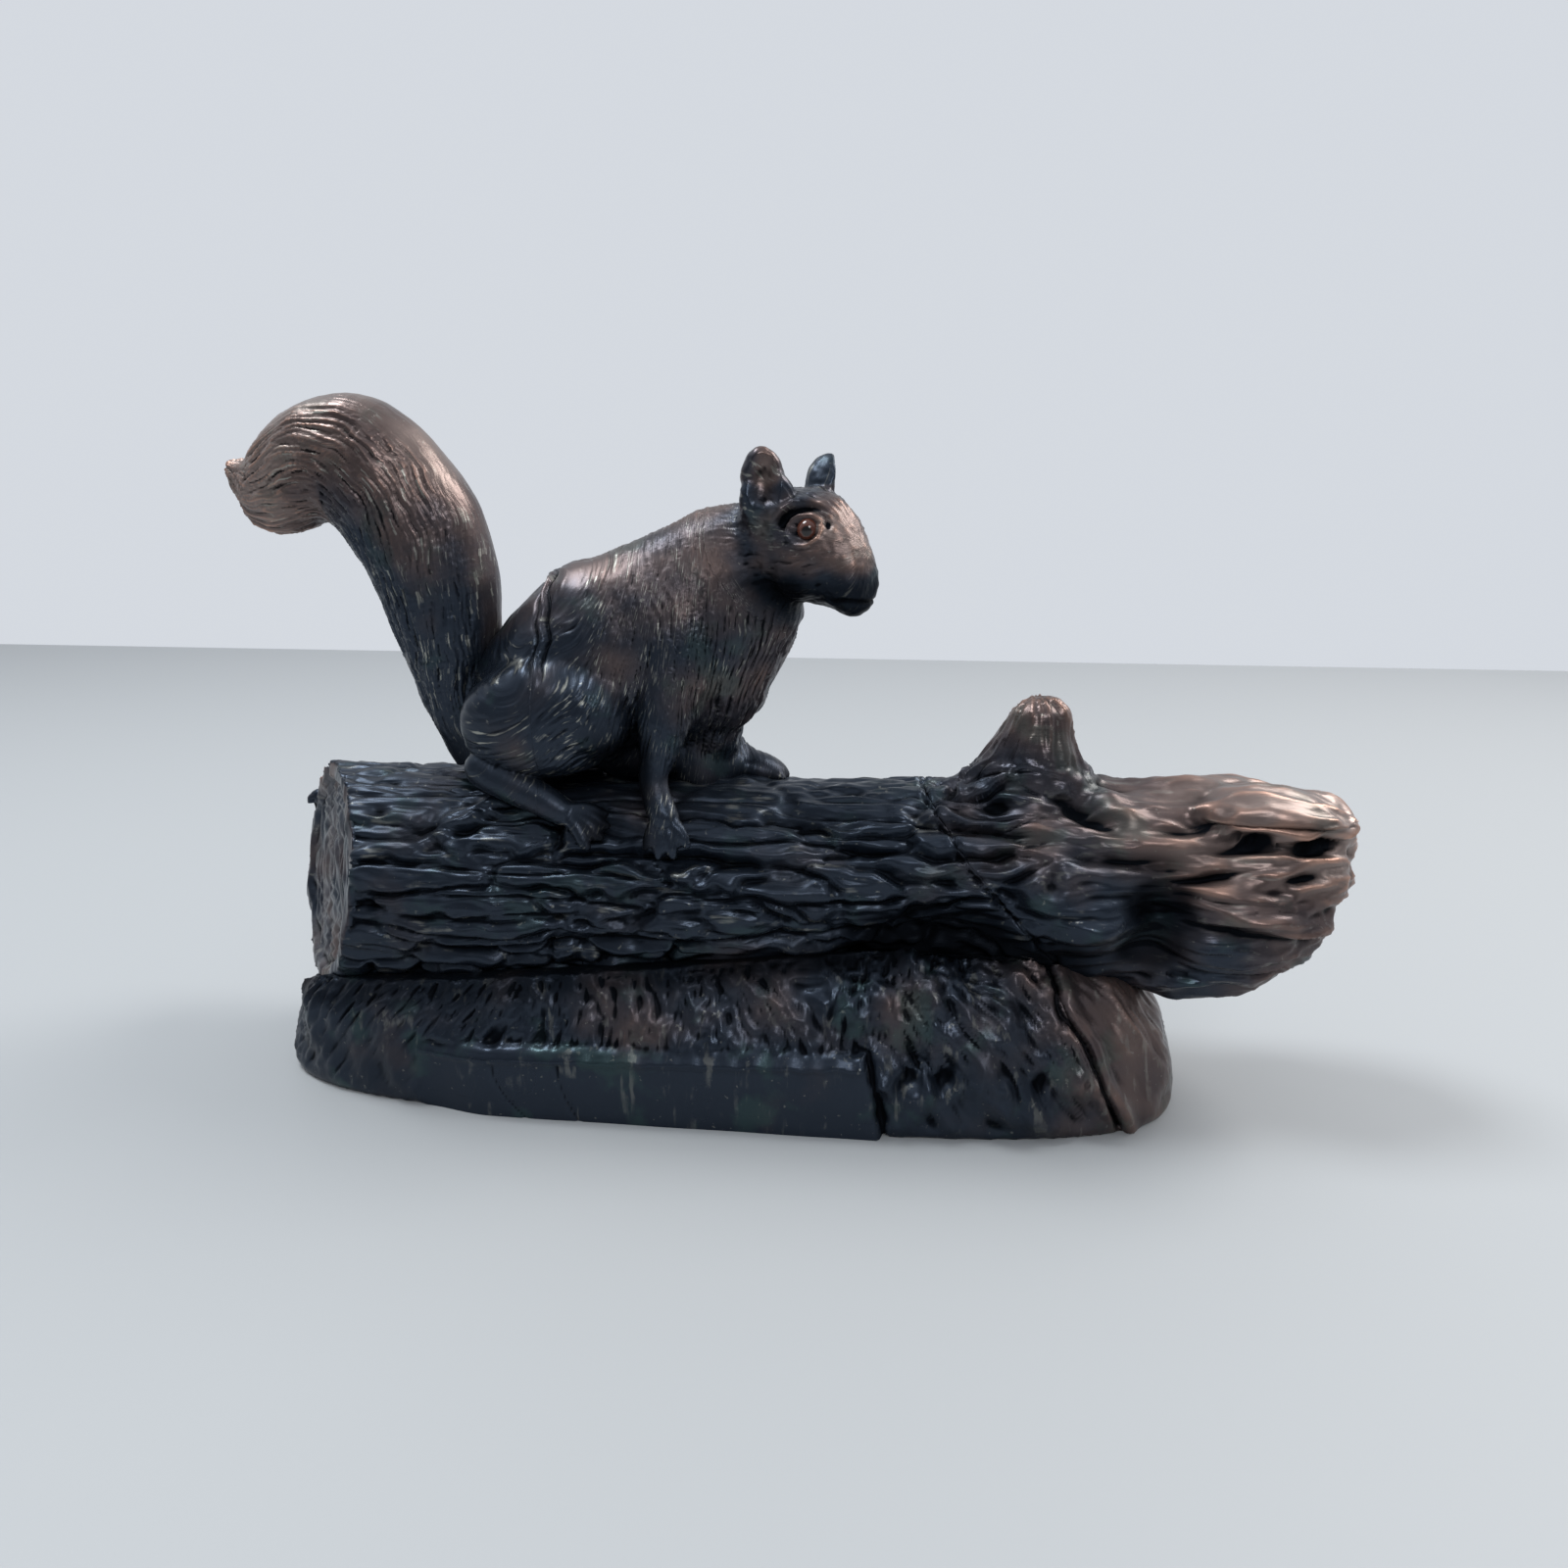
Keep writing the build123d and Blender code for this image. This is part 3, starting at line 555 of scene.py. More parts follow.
def logRule(place, normal):
    x, y, z = place
    axis, halfUp, halfSide = logAt(x)
    reach = math.hypot(y / halfSide, (z - axis) / halfUp)
    beforeFace = (place - facePlace).dot(faceNormal)
    warp = ripple(x / 9, y / 5, z / 5)
    if beforeFace > -0.5 and normal.dot(faceNormal) > 0.75:
        rings = math.sin(2 * math.pi * (reach * log["ringCount"] + 1.4 * ripple(y / 4, z / 7, 4)))
        rim = swell(reach + 0.03 * warp, 0.84, 0.90)
        lift = log["faceDepth"] * rim - log["faceDepth"] + log["ringDepth"] * rings * (1 - rim)
        lift += 0.6 * ripple(x / 4, y / 4, z / 9)
        lift += 0.3 * ripple(x, y / 1.6, z / 5)
        return place + normal * lift, 0.22 + 0.2 * warp, (x, y, z), 0
    torn = swell(x + 8 * warp, 36, 54)
    onStub = swell(z - 2 * abs(y) / 9, 45.5, 49) * swell(x, 24, 34)
    lift = barkLift(x, y, z, warp) * (1 - torn) + tornLift(x, y, z, warp) * torn
    lift = lift * (1 - onStub) + stubLift(x, y, z) * onStub
    facing = log["markFacing"] - normal.y
    dent = dents(place, log["marks"]) if facing > 0 else 0
    lift += dent * swell(facing, 0, 0.4)
    seam = abs((place - logSeamPlace).dot(logSeamNormal) + 0.8 * ripple(y / 3, z / 3, 1))
    lift += 0.35 * peak(seam, 0.9) - 0.9 * peak(seam, 0.3) * (1 - onStub)
    upper = swell(z, 24, 44)
    copper = 0.02 + 0.60 * swell(x, 44, 78) * (0.45 + 0.55 * upper) + 0.34 * swell(z, 44, 54)
    copper += 0.22 * swell(x, 80, 86) + 0.16 * swell(x, 22, 40) * upper + 0.10 * warp
    # painted shade where the log meets the mound on the near side, and in the deeper dents
    crevice = creviceAt(x)
    painted_shade_and_grime = (1 - swell(z, crevice - 2, crevice + 4)) * (1 - swell(x, 46, 60))
    painted_shade_and_grime += 0.8 * swell(-dent, 0.4, 2.0)
    return place + normal * lift, copper, (x, y, z), min(painted_shade_and_grime, 1)


bm = bmesh.new()
trunk = [((x, 0, axis), (1, 0, 0), side, up) for x, axis, up, side in finer(log["rows"])]
addRings(bm, trunk, log["segments"])
cutAway(bm, facePlace, faceNormal)
stub = [((x, 0, z), (0, 0, 1), side, long) for x, z, long, side in finer(log["stubRows"])]
addRings(bm, stub, log["stubSegments"])
for place, halves, turn in log["plates"]:
    addBall(bm, place, halves, turn)
addLimb(bm, log["twigRows"], log["twigSegments"])
logShell = fuse(bm, "logShell", log["voxel"], log["smoothing"])
carve(logShell, logRule)
markRelief(logShell, *log["relief"])
logBrokenEnd = halve(logShell, "logBrokenEnd", logSeamPlace, logSeamNormal)
print("log shaped")


# Grass mound with its bare plaque band

mound = {
    "length": 132.0,
    "depth": 41.0,
    "squareness": 3.4,
    "levels": [  # height, shares of half the length and half the depth
        (0.0, 0.985, 0.98), (2.6, 1.0, 1.0), (9.6, 0.98, 0.985), (13.8, 0.955, 0.92), (19.2, 0.88, 0.80),
        (23.0, 0.78, 0.64), (26.0, 0.70, 0.46),
    ],
    "topLeft": (-66.0, 0.0, 15.0),
    "topRight": (57.0, 0.0, 27.0),
    "plaque": (-40.5, 24.8, 9.9),  # left, right, and top at the left
    "plaqueFace": -20.9,
    "bladeWidth": 1.5,
    "bladeHeight": 0.55,
    "clumpWidth": 6.5,
    "clumpHeight": 1.7,
    "arcs": [(-29.0, -24.4), (-19.6, -16.8)],  # x of each scored arc at its top and at its foot
    "arcHeight": 8.4,
    "arcTop": 8.6,
    "arcWidth": 0.28,
    "arcDepth": 0.28,
    "cutFoot": -5.0,
    "rimWall": 2.4,
    "coverTop": 2.5,
    "boreInset": 4.4,
    "boreTop": 8.6,
    "seamPlace": (57.0, 0.0, 0.0),
    "seamLean": 26.0,
    "segments": 160,
    "voxel": 0.42,
    "smoothing": 3,
    "relief": (14, 0.5),
}
moundLean = math.radians(mound["seamLean"])
moundSeamNormal = Vector((math.cos(moundLean), 0, math.sin(moundLean)))
moundSeamPlace = Vector(mound["seamPlace"])


def addOutlines(bm, levels, inset=0.0):  # level rings of the mound's squared oval
    power = mound["squareness"]
    made = []
    for height, length, depth in levels:
        halfLength, halfDepth = length * mound["length"] / 2 - inset, depth * mound["depth"] / 2 - inset
        ring = bmesh.ops.create_circle(bm, segments=mound["segments"], radius=1)
        for vert in ring["verts"]:
            bend = (abs(vert.co.x) ** power + abs(vert.co.y) ** power) ** (-1 / power)
            vert.co = (vert.co.x * bend * halfLength, vert.co.y * bend * halfDepth, height)
        made.append(ring)
    joinRings(bm, made)


def arcCut(x, z, top, foot):  # shallow scored line on the band, from its top to its foot
    share = min(max(1 - z / mound["arcHeight"], 0), 1)
    line = top + (foot - top) * share * share
    return peak(x - line, mound["arcWidth"]) * swell(mound["arcTop"] - z, 0, 0.6)


def moundRule(place, normal):
    x, y, z = place
    left, right, top = mound["plaque"]
    seamGap = (place - moundSeamPlace).dot(moundSeamNormal) + ripple(y / 5, z / 5, 6)
    pastSeam = swell(seamGap, -0.3, 0.6)
    outward = swell(math.hypot(normal.x, normal.y), 0.25, 0.6)
    # blades of grass fan out to both sides over rounder clumps
    sweep = 0.9 * ripple(x / 10, y / 10, 3) + 0.045 * x
    fan = x + sweep * z * 0.35
    wide, broad = mound["bladeWidth"], mound["clumpWidth"]
    strokes = mound["bladeHeight"] * ripple(fan / wide, y / wide, z / 8)
    strokes += 0.30 * ridge(fan / 1.1, y / 1.1, z / 7)
    lobes = mound["clumpHeight"] * ripple(x / broad + 0.05 * z, y / broad, z / 8)
    lobes += ripple(x / 3.2 + 0.04 * z, y / 3.2, z / 6)
    high = swell(z, 7.5, 11.5)
    rightPart = swell(x, 20, 28)
    blades = strokes * (0.5 + 0.5 * high) * (1 - 0.65 * pastSeam)
    clumps = lobes * (0.55 + 0.75 * rightPart) * (1 - 0.6 * pastSeam)
    lift = (blades + clumps - 0.3) * outward * swell(z, 0.2, 3.0)
    tufts = peak(z - 8.2, 2.2) * rightPart * (1 - pastSeam)
    lift += tufts * ridge(x / 2.6, 0, z / 6 + 5) * outward
    # the bare band lies flat, with a bevel along its top and a step at its right end
    rightEdge = right - 0.20 * z + 0.3 * ripple(0, 3, z / 2)
    topEdge = top + 0.033 * (x - left) + 0.5 * ripple(x / 2.2, 0, 2)
    inside = min((x - left) / 2.6, rightEdge - x, topEdge - z)
    facing = 1 if y < -12 and normal.y < 0.2 else 0
    onBand = swell(inside, -0.3, 0.5) * facing
    moved = place + normal * lift
    if onBand > 0:
        bevel = 0.9 * (1 - swell(abs(topEdge - 1.8 - z), 0, 0.7))
        face = mound["plaqueFace"] + 1.9 * (1 - swell(x, left, left + 11)) + 0.10 * ripple(x / 9, 0, z / 3)
        face += 0.8 * swell(z, topEdge - 1.7, topEdge) - bevel * 0.3
        face += mound["arcDepth"] * sum(arcCut(x, z, *arc) for arc in mound["arcs"])
        flat = Vector((x, face, z))
        moved = moved.lerp(flat, onBand)
    step = peak(rightEdge + 0.4 - x, 0.38) * swell(topEdge + 0.8 - z, 0, 0.8) * facing
    moved += normal * (-0.55 * step)
    cleft = 0.9 * peak(seamGap - 1.3, 1.1) - 1.5 * peak(seamGap, 0.42)
    moved += normal * cleft * outward
    moved = onLog(moved, -0.4)
    moved.z = max(moved.z, 0)
    copper = 0.04 + 0.36 * swell(x, 40, 60) + 0.10 * swell(z, 9, 14) * (1 - onBand)
    copper += 0.10 * ripple(x / 8, y / 8, z / 5)
    # painted shade along the top of the mound under the log, and in the step at the band's right end; the
    # loose patches over the grass are grime
    crevice = creviceAt(x)
    painted_shade_and_grime = (0.55 + 0.35 * swell(x, -30, 10)) * swell(z, crevice - 3, crevice) * (1 - 0.6 * pastSeam)
    painted_shade_and_grime += 0.6 * step
    painted_shade_and_grime += 0.15 * swell(ripple(x / 7, y / 7, z / 4), 0.0, 0.5) * (1 - onBand) * (1 - pastSeam)
    return moved, copper * (1 - 0.8 * onBand), (x, y, z), min(painted_shade_and_grime, 1)


def cutterOf(top, inset, name):  # straight-sided room under the mound
    shares = mound["levels"][0][1:]
    bm = bmesh.new()
    addOutlines(bm, [(mound["cutFoot"], *shares), (top, *shares)], inset)
    return toObject(bm, name)


coverRoom = cutterOf(mound["coverTop"], mound["rimWall"], "coverRoom")
baseBore = cutterOf(mound["boreTop"], mound["boreInset"], "baseBore")
bm = bmesh.new()
addOutlines(bm, finer(mound["levels"], 4))
topLeft, topRight = Vector(mound["topLeft"]), Vector(mound["topRight"])
slope = (topRight - topLeft).normalized()
cutAway(bm, topLeft, Vector((-slope.z, 0, slope.x)))
baseShell = fuse(bm, "baseShell", mound["voxel"], mound["smoothing"], [coverRoom, baseBore])
carve(baseShell, moundRule)
markRelief(baseShell, *mound["relief"])
baseRightEnd = halve(baseShell, "baseRightEnd", moundSeamPlace, moundSeamNormal)
print("mound shaped")


# Squirrel's body and head, one skin that is then cut at the seams

body = {
    "rows": [  # x, height, half height, half width
        (-35.4, 50.4, 4.6, 4.8), (-33.0, 52.0, 7.4, 7.2), (-30.2, 54.0, 9.7, 9.0),
        (-22.6, 58.0, 13.2, 11.2), (-14.0, 61.6, 14.0, 11.8), (-5.0, 64.8, 14.6, 11.2),
        (2.2, 68.8, 13.8, 9.0), (7.4, 72.8, 10.4, 7.4), (10.2, 75.6, 8.0, 6.4),
    ],
    "haunch": ((-22.6, 8.8, 54.3), (12.2, 6.4, 8.6), (0, -12, 0)),
    "knee": ((-15.8, 10.6, 55.2), (5.4, 4.6, 6.2), (0, -20, 0)),
    "shoulder": ((-4.4, 6.6, 62.6), (6.6, 5.0, 10.4), (0, 6, 0)),
    "chest": ((1.2, 0.0, 60.6), (6.6, 8.0, 9.6), (0, 8, 0)),
    "lowerChest": ((-1.4, 1.8, 52.6), (4.6, 5.4, 6.6), (0, 0, 0)),
    "lump": ((-2.0, 4.2, 45.0), (5.4, 4.8, 4.0), (0, 0, 0)),
    "belly": ((-12.0, 1.0, 48.6), (8.0, 6.4, 5.4), (0, 0, 0)),
    "farWrist": ((5.0, 5.4, 44.3), (4.6, 3.4, 2.6), (0, 14, 0)),
    "posts": [(-27.5, 0.0, 4.3), (-3.2, 1.8, 4.3)],  # x, y and radius of the bosses on the log
    "postHeights": (42.0, 57.0),
    "nearForeleg": [  # x, y, height and radius, as for the other limbs
        (-5.2, -6.6, 64.0, 5.2), (-5.4, -8.2, 59.0, 4.4), (-5.8, -9.8, 54.6, 3.6), (-6.5, -10.8, 50.4, 2.8),
        (-7.1, -11.6, 47.0, 2.1), (-6.4, -12.4, 44.0, 2.1), (-5.4, -13.0, 41.8, 2.2),
    ],
    "farForeleg": [
        (0.4, 4.6, 60.0, 5.0), (0.2, 5.6, 54.8, 3.6), (-0.3, 6.1, 50.5, 2.9), (0.6, 6.2, 47.4, 2.3),
        (3.2, 6.0, 45.6, 1.9),
    ],
    "hindFoot": [
        (-31.0, -10.4, 47.2, 2.7), (-27.0, -11.4, 45.4, 2.6), (-22.5, -12.4, 43.6, 2.3),
        (-19.4, -12.9, 42.2, 1.9),
    ],
    "nearToes": [  # end of each toe of the near forefoot
        (-7.8, -14.9, 38.0), (-5.9, -15.3, 37.0), (-3.9, -15.2, 37.2), (-2.0, -14.6, 38.6),
    ],
    "farToes": [(8.6, 3.4, 43.6), (9.0, 5.2, 43.7), (8.6, 7.0, 43.3), (7.2, 8.6, 42.8)],
    "hindToes": [(-13.6, -12.9, 42.0), (-13.0, -13.9, 40.6), (-13.8, -14.6, 39.2), (-15.6, -15.2, 38.0)],
    "toeRadius": 0.95,
    "toeSegments": 10,
    "furWidth": 0.95,
    "furLength": 4.6,
    "furDepth": 0.10,
    "seamX": -22.5,
    "heading": (1, 0, 0.25),
    "segments": 48,
    "coreVoxel": 0.55,
    "coreSmoothing": 9,
    "voxel": 0.245,
    "smoothing": 5,
    "relief": (14, 0.26),
}
head = {
    "place": (8.0, -1.0, 77.35),
    "turn": -38.0,
    "rows": [  # along, up, half height, half width
        (-7.0, -5.2, 7.2, 5.8), (-4.4, -3.0, 8.0, 6.6), (-0.5, -0.6, 7.9, 6.8), (3.5, 0.0, 7.5, 6.7),
        (8.1, -0.1, 7.4, 6.0), (11.4, -0.9, 7.0, 5.1), (13.7, -2.4, 6.2, 4.1), (15.2, -3.6, 5.1, 3.4),
        (16.3, -4.3, 3.8, 2.8), (17.0, -4.7, 2.1, 1.9),
    ],
    "ear": ((3.4, 5.3, 7.7), (3.0, 1.9, 4.9), (6, -5, -38)),
    "earBlade": ((4.2, 5.3, 5.8), (3.7, 2.0, 4.2), (6, -8, -38)),
    "farEar": ((3.8, 5.2, 8.0), (2.6, 1.5, 4.3), (22, 0, 10)),
    "earRoot": ((3.9, 4.6, 4.6), (4.2, 2.6, 3.4), (0, 0, -30)),
    "cheek": ((7.8, 3.4, -3.0), (4.8, 2.8, 3.8), (0, 10, 0)),
    "muzzle": ((13.2, 1.7, -3.9), (3.0, 2.2, 2.8), (0, 20, 0)),
    "earHollow": ((3.7, 5.3, 7.8), (2.3, 3.9), 1.5),  # middle, half width and height, depth
    "earTurn": 38.0,  # how far the hollows turn from the sides to the front
    "eye": (10.1, 3.9, 2.2),
    "eyeRadius": 1.45,
    "furWidth": 0.9,
    "furLength": 3.6,
    "furDepth": 0.09,
    "neckPlace": (-2.34, 0.0, -1.33),
    "neckLean": 32.0,
}
headPlace = Matrix.Translation(head["place"]) @ Matrix.Rotation(math.radians(head["turn"]), 4, "Z")
headBack = headPlace.inverted()
neckLean = math.radians(head["neckLean"])
neckNormal = Vector((math.cos(neckLean), 0, math.sin(neckLean)))
neckPlace = Vector(head["neckPlace"])


def addFoot(bm, heel, toes):
    heel, radius = Vector(heel), body["toeRadius"]
    for toe in toes:
        tip = Vector(toe)
        middle = heel.lerp(tip, 0.55) + Vector((0, 0, 0.6))
        knuckle = heel.lerp(tip, 0.85)
        rows = [(*heel, radius * 1.3), (*middle, radius * 1.15), (*knuckle, radius), (*tip, radius * 0.55)]
        addLimb(bm, rows, body["toeSegments"])


def bodyForm(x, y, z):  # height of the engraving, how coppery (with a painted highlight along the top of the back), place in the fur's flow
    fall = math.radians(18 + 34 * swell(-x, -4, 18) - 10 * swell(-x, 24, 34))
    along = -math.sin(fall) * x - math.cos(fall) * z
    across = math.cos(fall) * x - math.sin(fall) * z + 0.6 * y + 1.0 * ripple(x / 6, y / 6, z / 6)
    depth = body["furDepth"] + 0.12 * swell(x, -8, 2) * (1 - swell(z, 64, 72))
    tucked = swell(z, 45.5, 49)
    strokes = ridge(across / body["furWidth"], along / body["furLength"], 2)
    strokes += 0.6 * ridge(across / 0.52, along / 2.6, 5)
    lift = depth * (strokes - 0.7) * tucked + 0.26 * ripple(x / 4.5, y / 4.5, z / 4.5)
    seam = abs(x - body["seamX"] - 1.2 * ripple(y / 4, z / 4, 3))
    seamUp = swell(z, 58, 65)
    lift += (0.50 * peak(seam, 0.55) - 0.55 * peak(seam - 0.9, 0.32)) * seamUp
    lift += 0.9 * peak(x + 20.5, 2.6) * swell(z, 68, 72)
    # coppery and lighter towards the top of the back: partly the brown tone of the cast, partly a painted
    # highlight where light falls from above
    copper = 0.10 + 0.26 * swell(z, 64, 78) + 0.10 * swell(x, -8, 4) + 0.16 * ripple(x / 7, y / 7, z / 7)
    copper -= 0.10 * swell(-x, 18, 30) * (1 - swell(z, 56, 66))
    return lift, copper, Vector((across, along, 0))


def headForm(along, side, up, normal):  # the same three for the head, and its painted shade
    eyeAlong, _, eyeUp = head["eye"]
    across = math.atan2(side, up) * 6.5
    strokes = ridge(across / head["furWidth"], along / head["furLength"] + abs(across) / 9, 2)
    strokes += 0.6 * ridge(across / 0.5, along / 2.2, 7)
    bald = swell(along, 11.0, 14.5)
    onEar = swell(up, 7.4, 8.6)
    lift = head["furDepth"] * (strokes - 0.7) * (1 - 0.7 * bald) * (1 - 0.4 * onEar)
    unevenness = 0.16 * ripple(along / 2.2, side / 2.2, up / 2.2)
    lift += unevenness + 0.08 * ripple(along / 0.8, side / 0.8, up / 0.8)
    # lid round the eye, and the fold and the brow over it
    gap = math.hypot((along - eyeAlong) / 1.2, up - eyeUp)
    facing = swell(abs(side), 2.4, 3.6)
    lift += facing * (0.30 * peak(gap - 1.85, 0.22) - 0.55 * peak(gap, 1.45, 4))
    over = math.hypot((along - eyeAlong) / 1.15, up - eyeUp - 0.3)
    browFold = peak(over - 2.6, 0.5) * swell(up, eyeUp - 0.3, eyeUp + 1.0) * facing
    brow = 0.50 * peak(over - 3.7, 0.6) * swell(up, eyeUp - 0.4, eyeUp + 1.2) * facing
    lift += -0.85 * browFold + brow
    mouthUp = -6.4 - 0.06 * (along - 12) + 0.2 * math.sin(1.3 * along)
    mouth = peak(up - mouthUp, 0.26) * swell(along, 12.6, 13.8)
    nostril = peak(math.hypot(along - 16.2, abs(side) - 1.2, up + 3.9), 0.6)
    lift += -0.32 * mouth - 0.6 * nostril
    (earAlong, earSide, earUp), (earWide, earHigh), earDepth = head["earHollow"]
    hand = math.copysign(1, side)
    earTurn = math.radians(head["earTurn"])
    earWay = Vector((math.sin(earTurn), hand * math.cos(earTurn), 0))
    level = Vector((-earWay.y, earWay.x, 0)).dot(Vector((along - earAlong, side - hand * earSide, 0)))
    inEar = math.hypot(level / earWide, (up - earUp) / earHigh)
    cup = max(1 - inEar * inEar, 0) * swell(normal.dot(earWay), 0.15, 0.6) * swell(up, 4.6, 5.8)
    lift -= earDepth * cup
    copper = 0.20 + 0.42 * swell(along, 8, 14) * swell(up, -5, 1) + 0.30 * cup
    copper += 0.26 * ripple(along / 3, side / 3, up / 3)
    # less copper on the lower part of the head, as painted shade; the far ear is less coppery and the near
    # ear more
    copper -= 0.25 * swell(-up, 2, 6) + onEar * (0.35 if side > 0 else -0.22)
    # painted shade in the fold over the eye, the mouth line and the nostrils, under the head, at the lower
    # back of the head, and in a ring round the eye
    painted_shade_and_grime = 0.85 * browFold + 0.6 * mouth + 0.8 * nostril + 0.7 * swell(-up, 2.4, 5.2)
    painted_shade_and_grime += 0.3 * swell(-up, -1, 3) * (1 - swell(along, 9, 12))
    painted_shade_and_grime += 0.5 * facing * peak(gap, 1.6, 4)
    return lift, copper, Vector((across, along, 0)), painted_shade_and_grime


def squirrelRule(place, normal):
    x, y, z = place
    local = headBack @ place
    onHead = swell((local - neckPlace).dot(neckNormal), -1.0, 3.5)
    lift, copper, flow, painted_shade_and_grime = 0, 0, Vector(), 0
    if onHead < 1:
        bodyLift, bodyCopperAndHighlight, bodyFlow = bodyForm(x, y, z)
        lift, copper, flow = bodyLift * (1 - onHead), bodyCopperAndHighlight * (1 - onHead), bodyFlow * (1 - onHead)
        # painted shade under the belly between the haunch and the foreleg, and low down by the log under
        # the chest, behind the near foreleg
        under = swell(-x, 6, 8) * (1 - swell(-x, 13, 18)) * (1 - swell(z, 50, 56))
        painted_shade_and_grime = max(0.9 * under, 0.45 * (1 - swell(z, 43, 49)) * swell(x, -10, -6) * (y > -8))
    if onHead > 0:
        headLift, headCopperAndPaintedShade, headFlow, headPaintedShade = headForm(*local, headBack.to_3x3() @ normal)
        lift, copper = lift + headLift * onHead, copper + headCopperAndPaintedShade * onHead
        flow = flow + headFlow * onHead
        painted_shade_and_grime = painted_shade_and_grime * (1 - onHead) + headPaintedShade * onHead
    return onLog(place + normal * lift, -0.6), copper, flow, min(painted_shade_and_grime, 1)


bm = bmesh.new()
trunk = [((x, 0, z), body["heading"], side, up) for x, z, up, side in finer(body["rows"])]
addRings(bm, trunk, body["segments"])
for name in ("haunch", "knee", "shoulder", "chest", "lowerChest", "lump", "belly", "farWrist"):
    (x, y, z), halves, turn = body[name]
    addBall(bm, (x, y, z), halves, turn)
    if name in ("haunch", "knee", "shoulder"):
        addBall(bm, (x, -y, z), halves, turn)
for x, y, radius in body["posts"]:
    addLimb(bm, [(x, y, height, radius) for height in body["postHeights"]])
addLimb(bm, body["nearForeleg"])
addLimb(bm, body["farForeleg"])
headBm = bmesh.new()
skull = [((s, 0, up), (1, 0, 0), side, high) for s, up, high, side in finer(head["rows"])]
addRings(headBm, skull, body["segments"])
for name in ("earRoot", "cheek", "muzzle"):
    (s, side, up), halves, (roll, pitch, yaw) = head[name]
    for hand in (-1, 1):
        addBall(headBm, (s, hand * side, up), halves, (-hand * roll, pitch, hand * yaw))
bmesh.ops.transform(headBm, matrix=headPlace, verts=headBm.verts)
headForms = bpy.data.meshes.new("headForms")
headBm.to_mesh(headForms)
headBm.free()
bm.from_mesh(headForms)
core = fuse(bm, "core", body["coreVoxel"], body["coreSmoothing"])
bm = bmesh.new()
bm.from_mesh(core.data)
bpy.data.objects.remove(core)
for hand in (1, -1):
    addLimb(bm, [(x, hand * y, z, radius) for x, y, z, radius in body["hindFoot"]])
    x, y, z = body["hindFoot"][-1][:3]
    toes = [(toeX, hand * toeY, toeZ) for toeX, toeY, toeZ in body["hindToes"]]
    addFoot(bm, (x, hand * y, z), toes)
for name, hand in (("ear", -1), ("earBlade", -1), ("farEar", 1)):
    (s, side, up), halves, (roll, pitch, yaw) = head[name]
    addBall(bm, (s, hand * side, up), halves, (-hand * roll, pitch, hand * yaw), headPlace)
addFoot(bm, body["nearForeleg"][-1][:3], body["nearToes"])
addFoot(bm, body["farForeleg"][-1][:3], body["farToes"])
squirrelFront = fuse(bm, "squirrelFrontBody", body["voxel"], body["smoothing"])
carve(squirrelFront, squirrelRule)
markRelief(squirrelFront, *body["relief"])
rumpSeam = Vector((body["seamX"], 0, 0))
squirrelHind = halve(squirrelFront, "squirrelHindquarters", rumpSeam, Vector((-1, 0, 0)))
neckSeam = headPlace @ neckPlace
squirrelHead = halve(squirrelFront, "squirrelHead", neckSeam, headPlace.to_3x3() @ neckNormal)
print("squirrel shaped")


# Tail

tail = {
    "rows": [  # x, height, heading in degrees, half width along the curl's plane, half depth
        (-35.4, 46.0, 103, 3.8, 3.8), (-36.7, 50.4, 101, 4.5, 4.5), (-38.0, 55.0, 98, 5.4, 5.2),
        (-38.8, 63.2, 95, 7.2, 6.6), (-40.2, 71.4, 97, 8.7, 7.4), (-42.7, 78.8, 108, 9.5, 7.6),
        (-46.9, 85.0, 132, 9.4, 7.6), (-52.7, 88.7, 160, 9.1, 7.3), (-59.0, 87.3, 184, 8.1, 6.5),
        (-63.1, 85.2, 190, 6.8, 5.2), (-66.0, 84.4, 180, 5.0, 4.0), (-68.0, 85.8, 164, 3.2, 2.6),
        (-69.9, 87.2, 158, 1.7, 1.5),
    ],
    "strokeWidth": 0.85,
    "strokeLength": 5.0,
    "strokeDepth": 0.17,
    "segments": 48,
    "voxel": 0.25,
    "smoothing": 4,
    "relief": (12, 0.28),
}
tailRows = np.array(finer(tail["rows"], 10))
tailLengths = np.concatenate([[0], np.cumsum(np.hypot(np.diff(tailRows[:, 0]), np.diff(tailRows[:, 1])))])


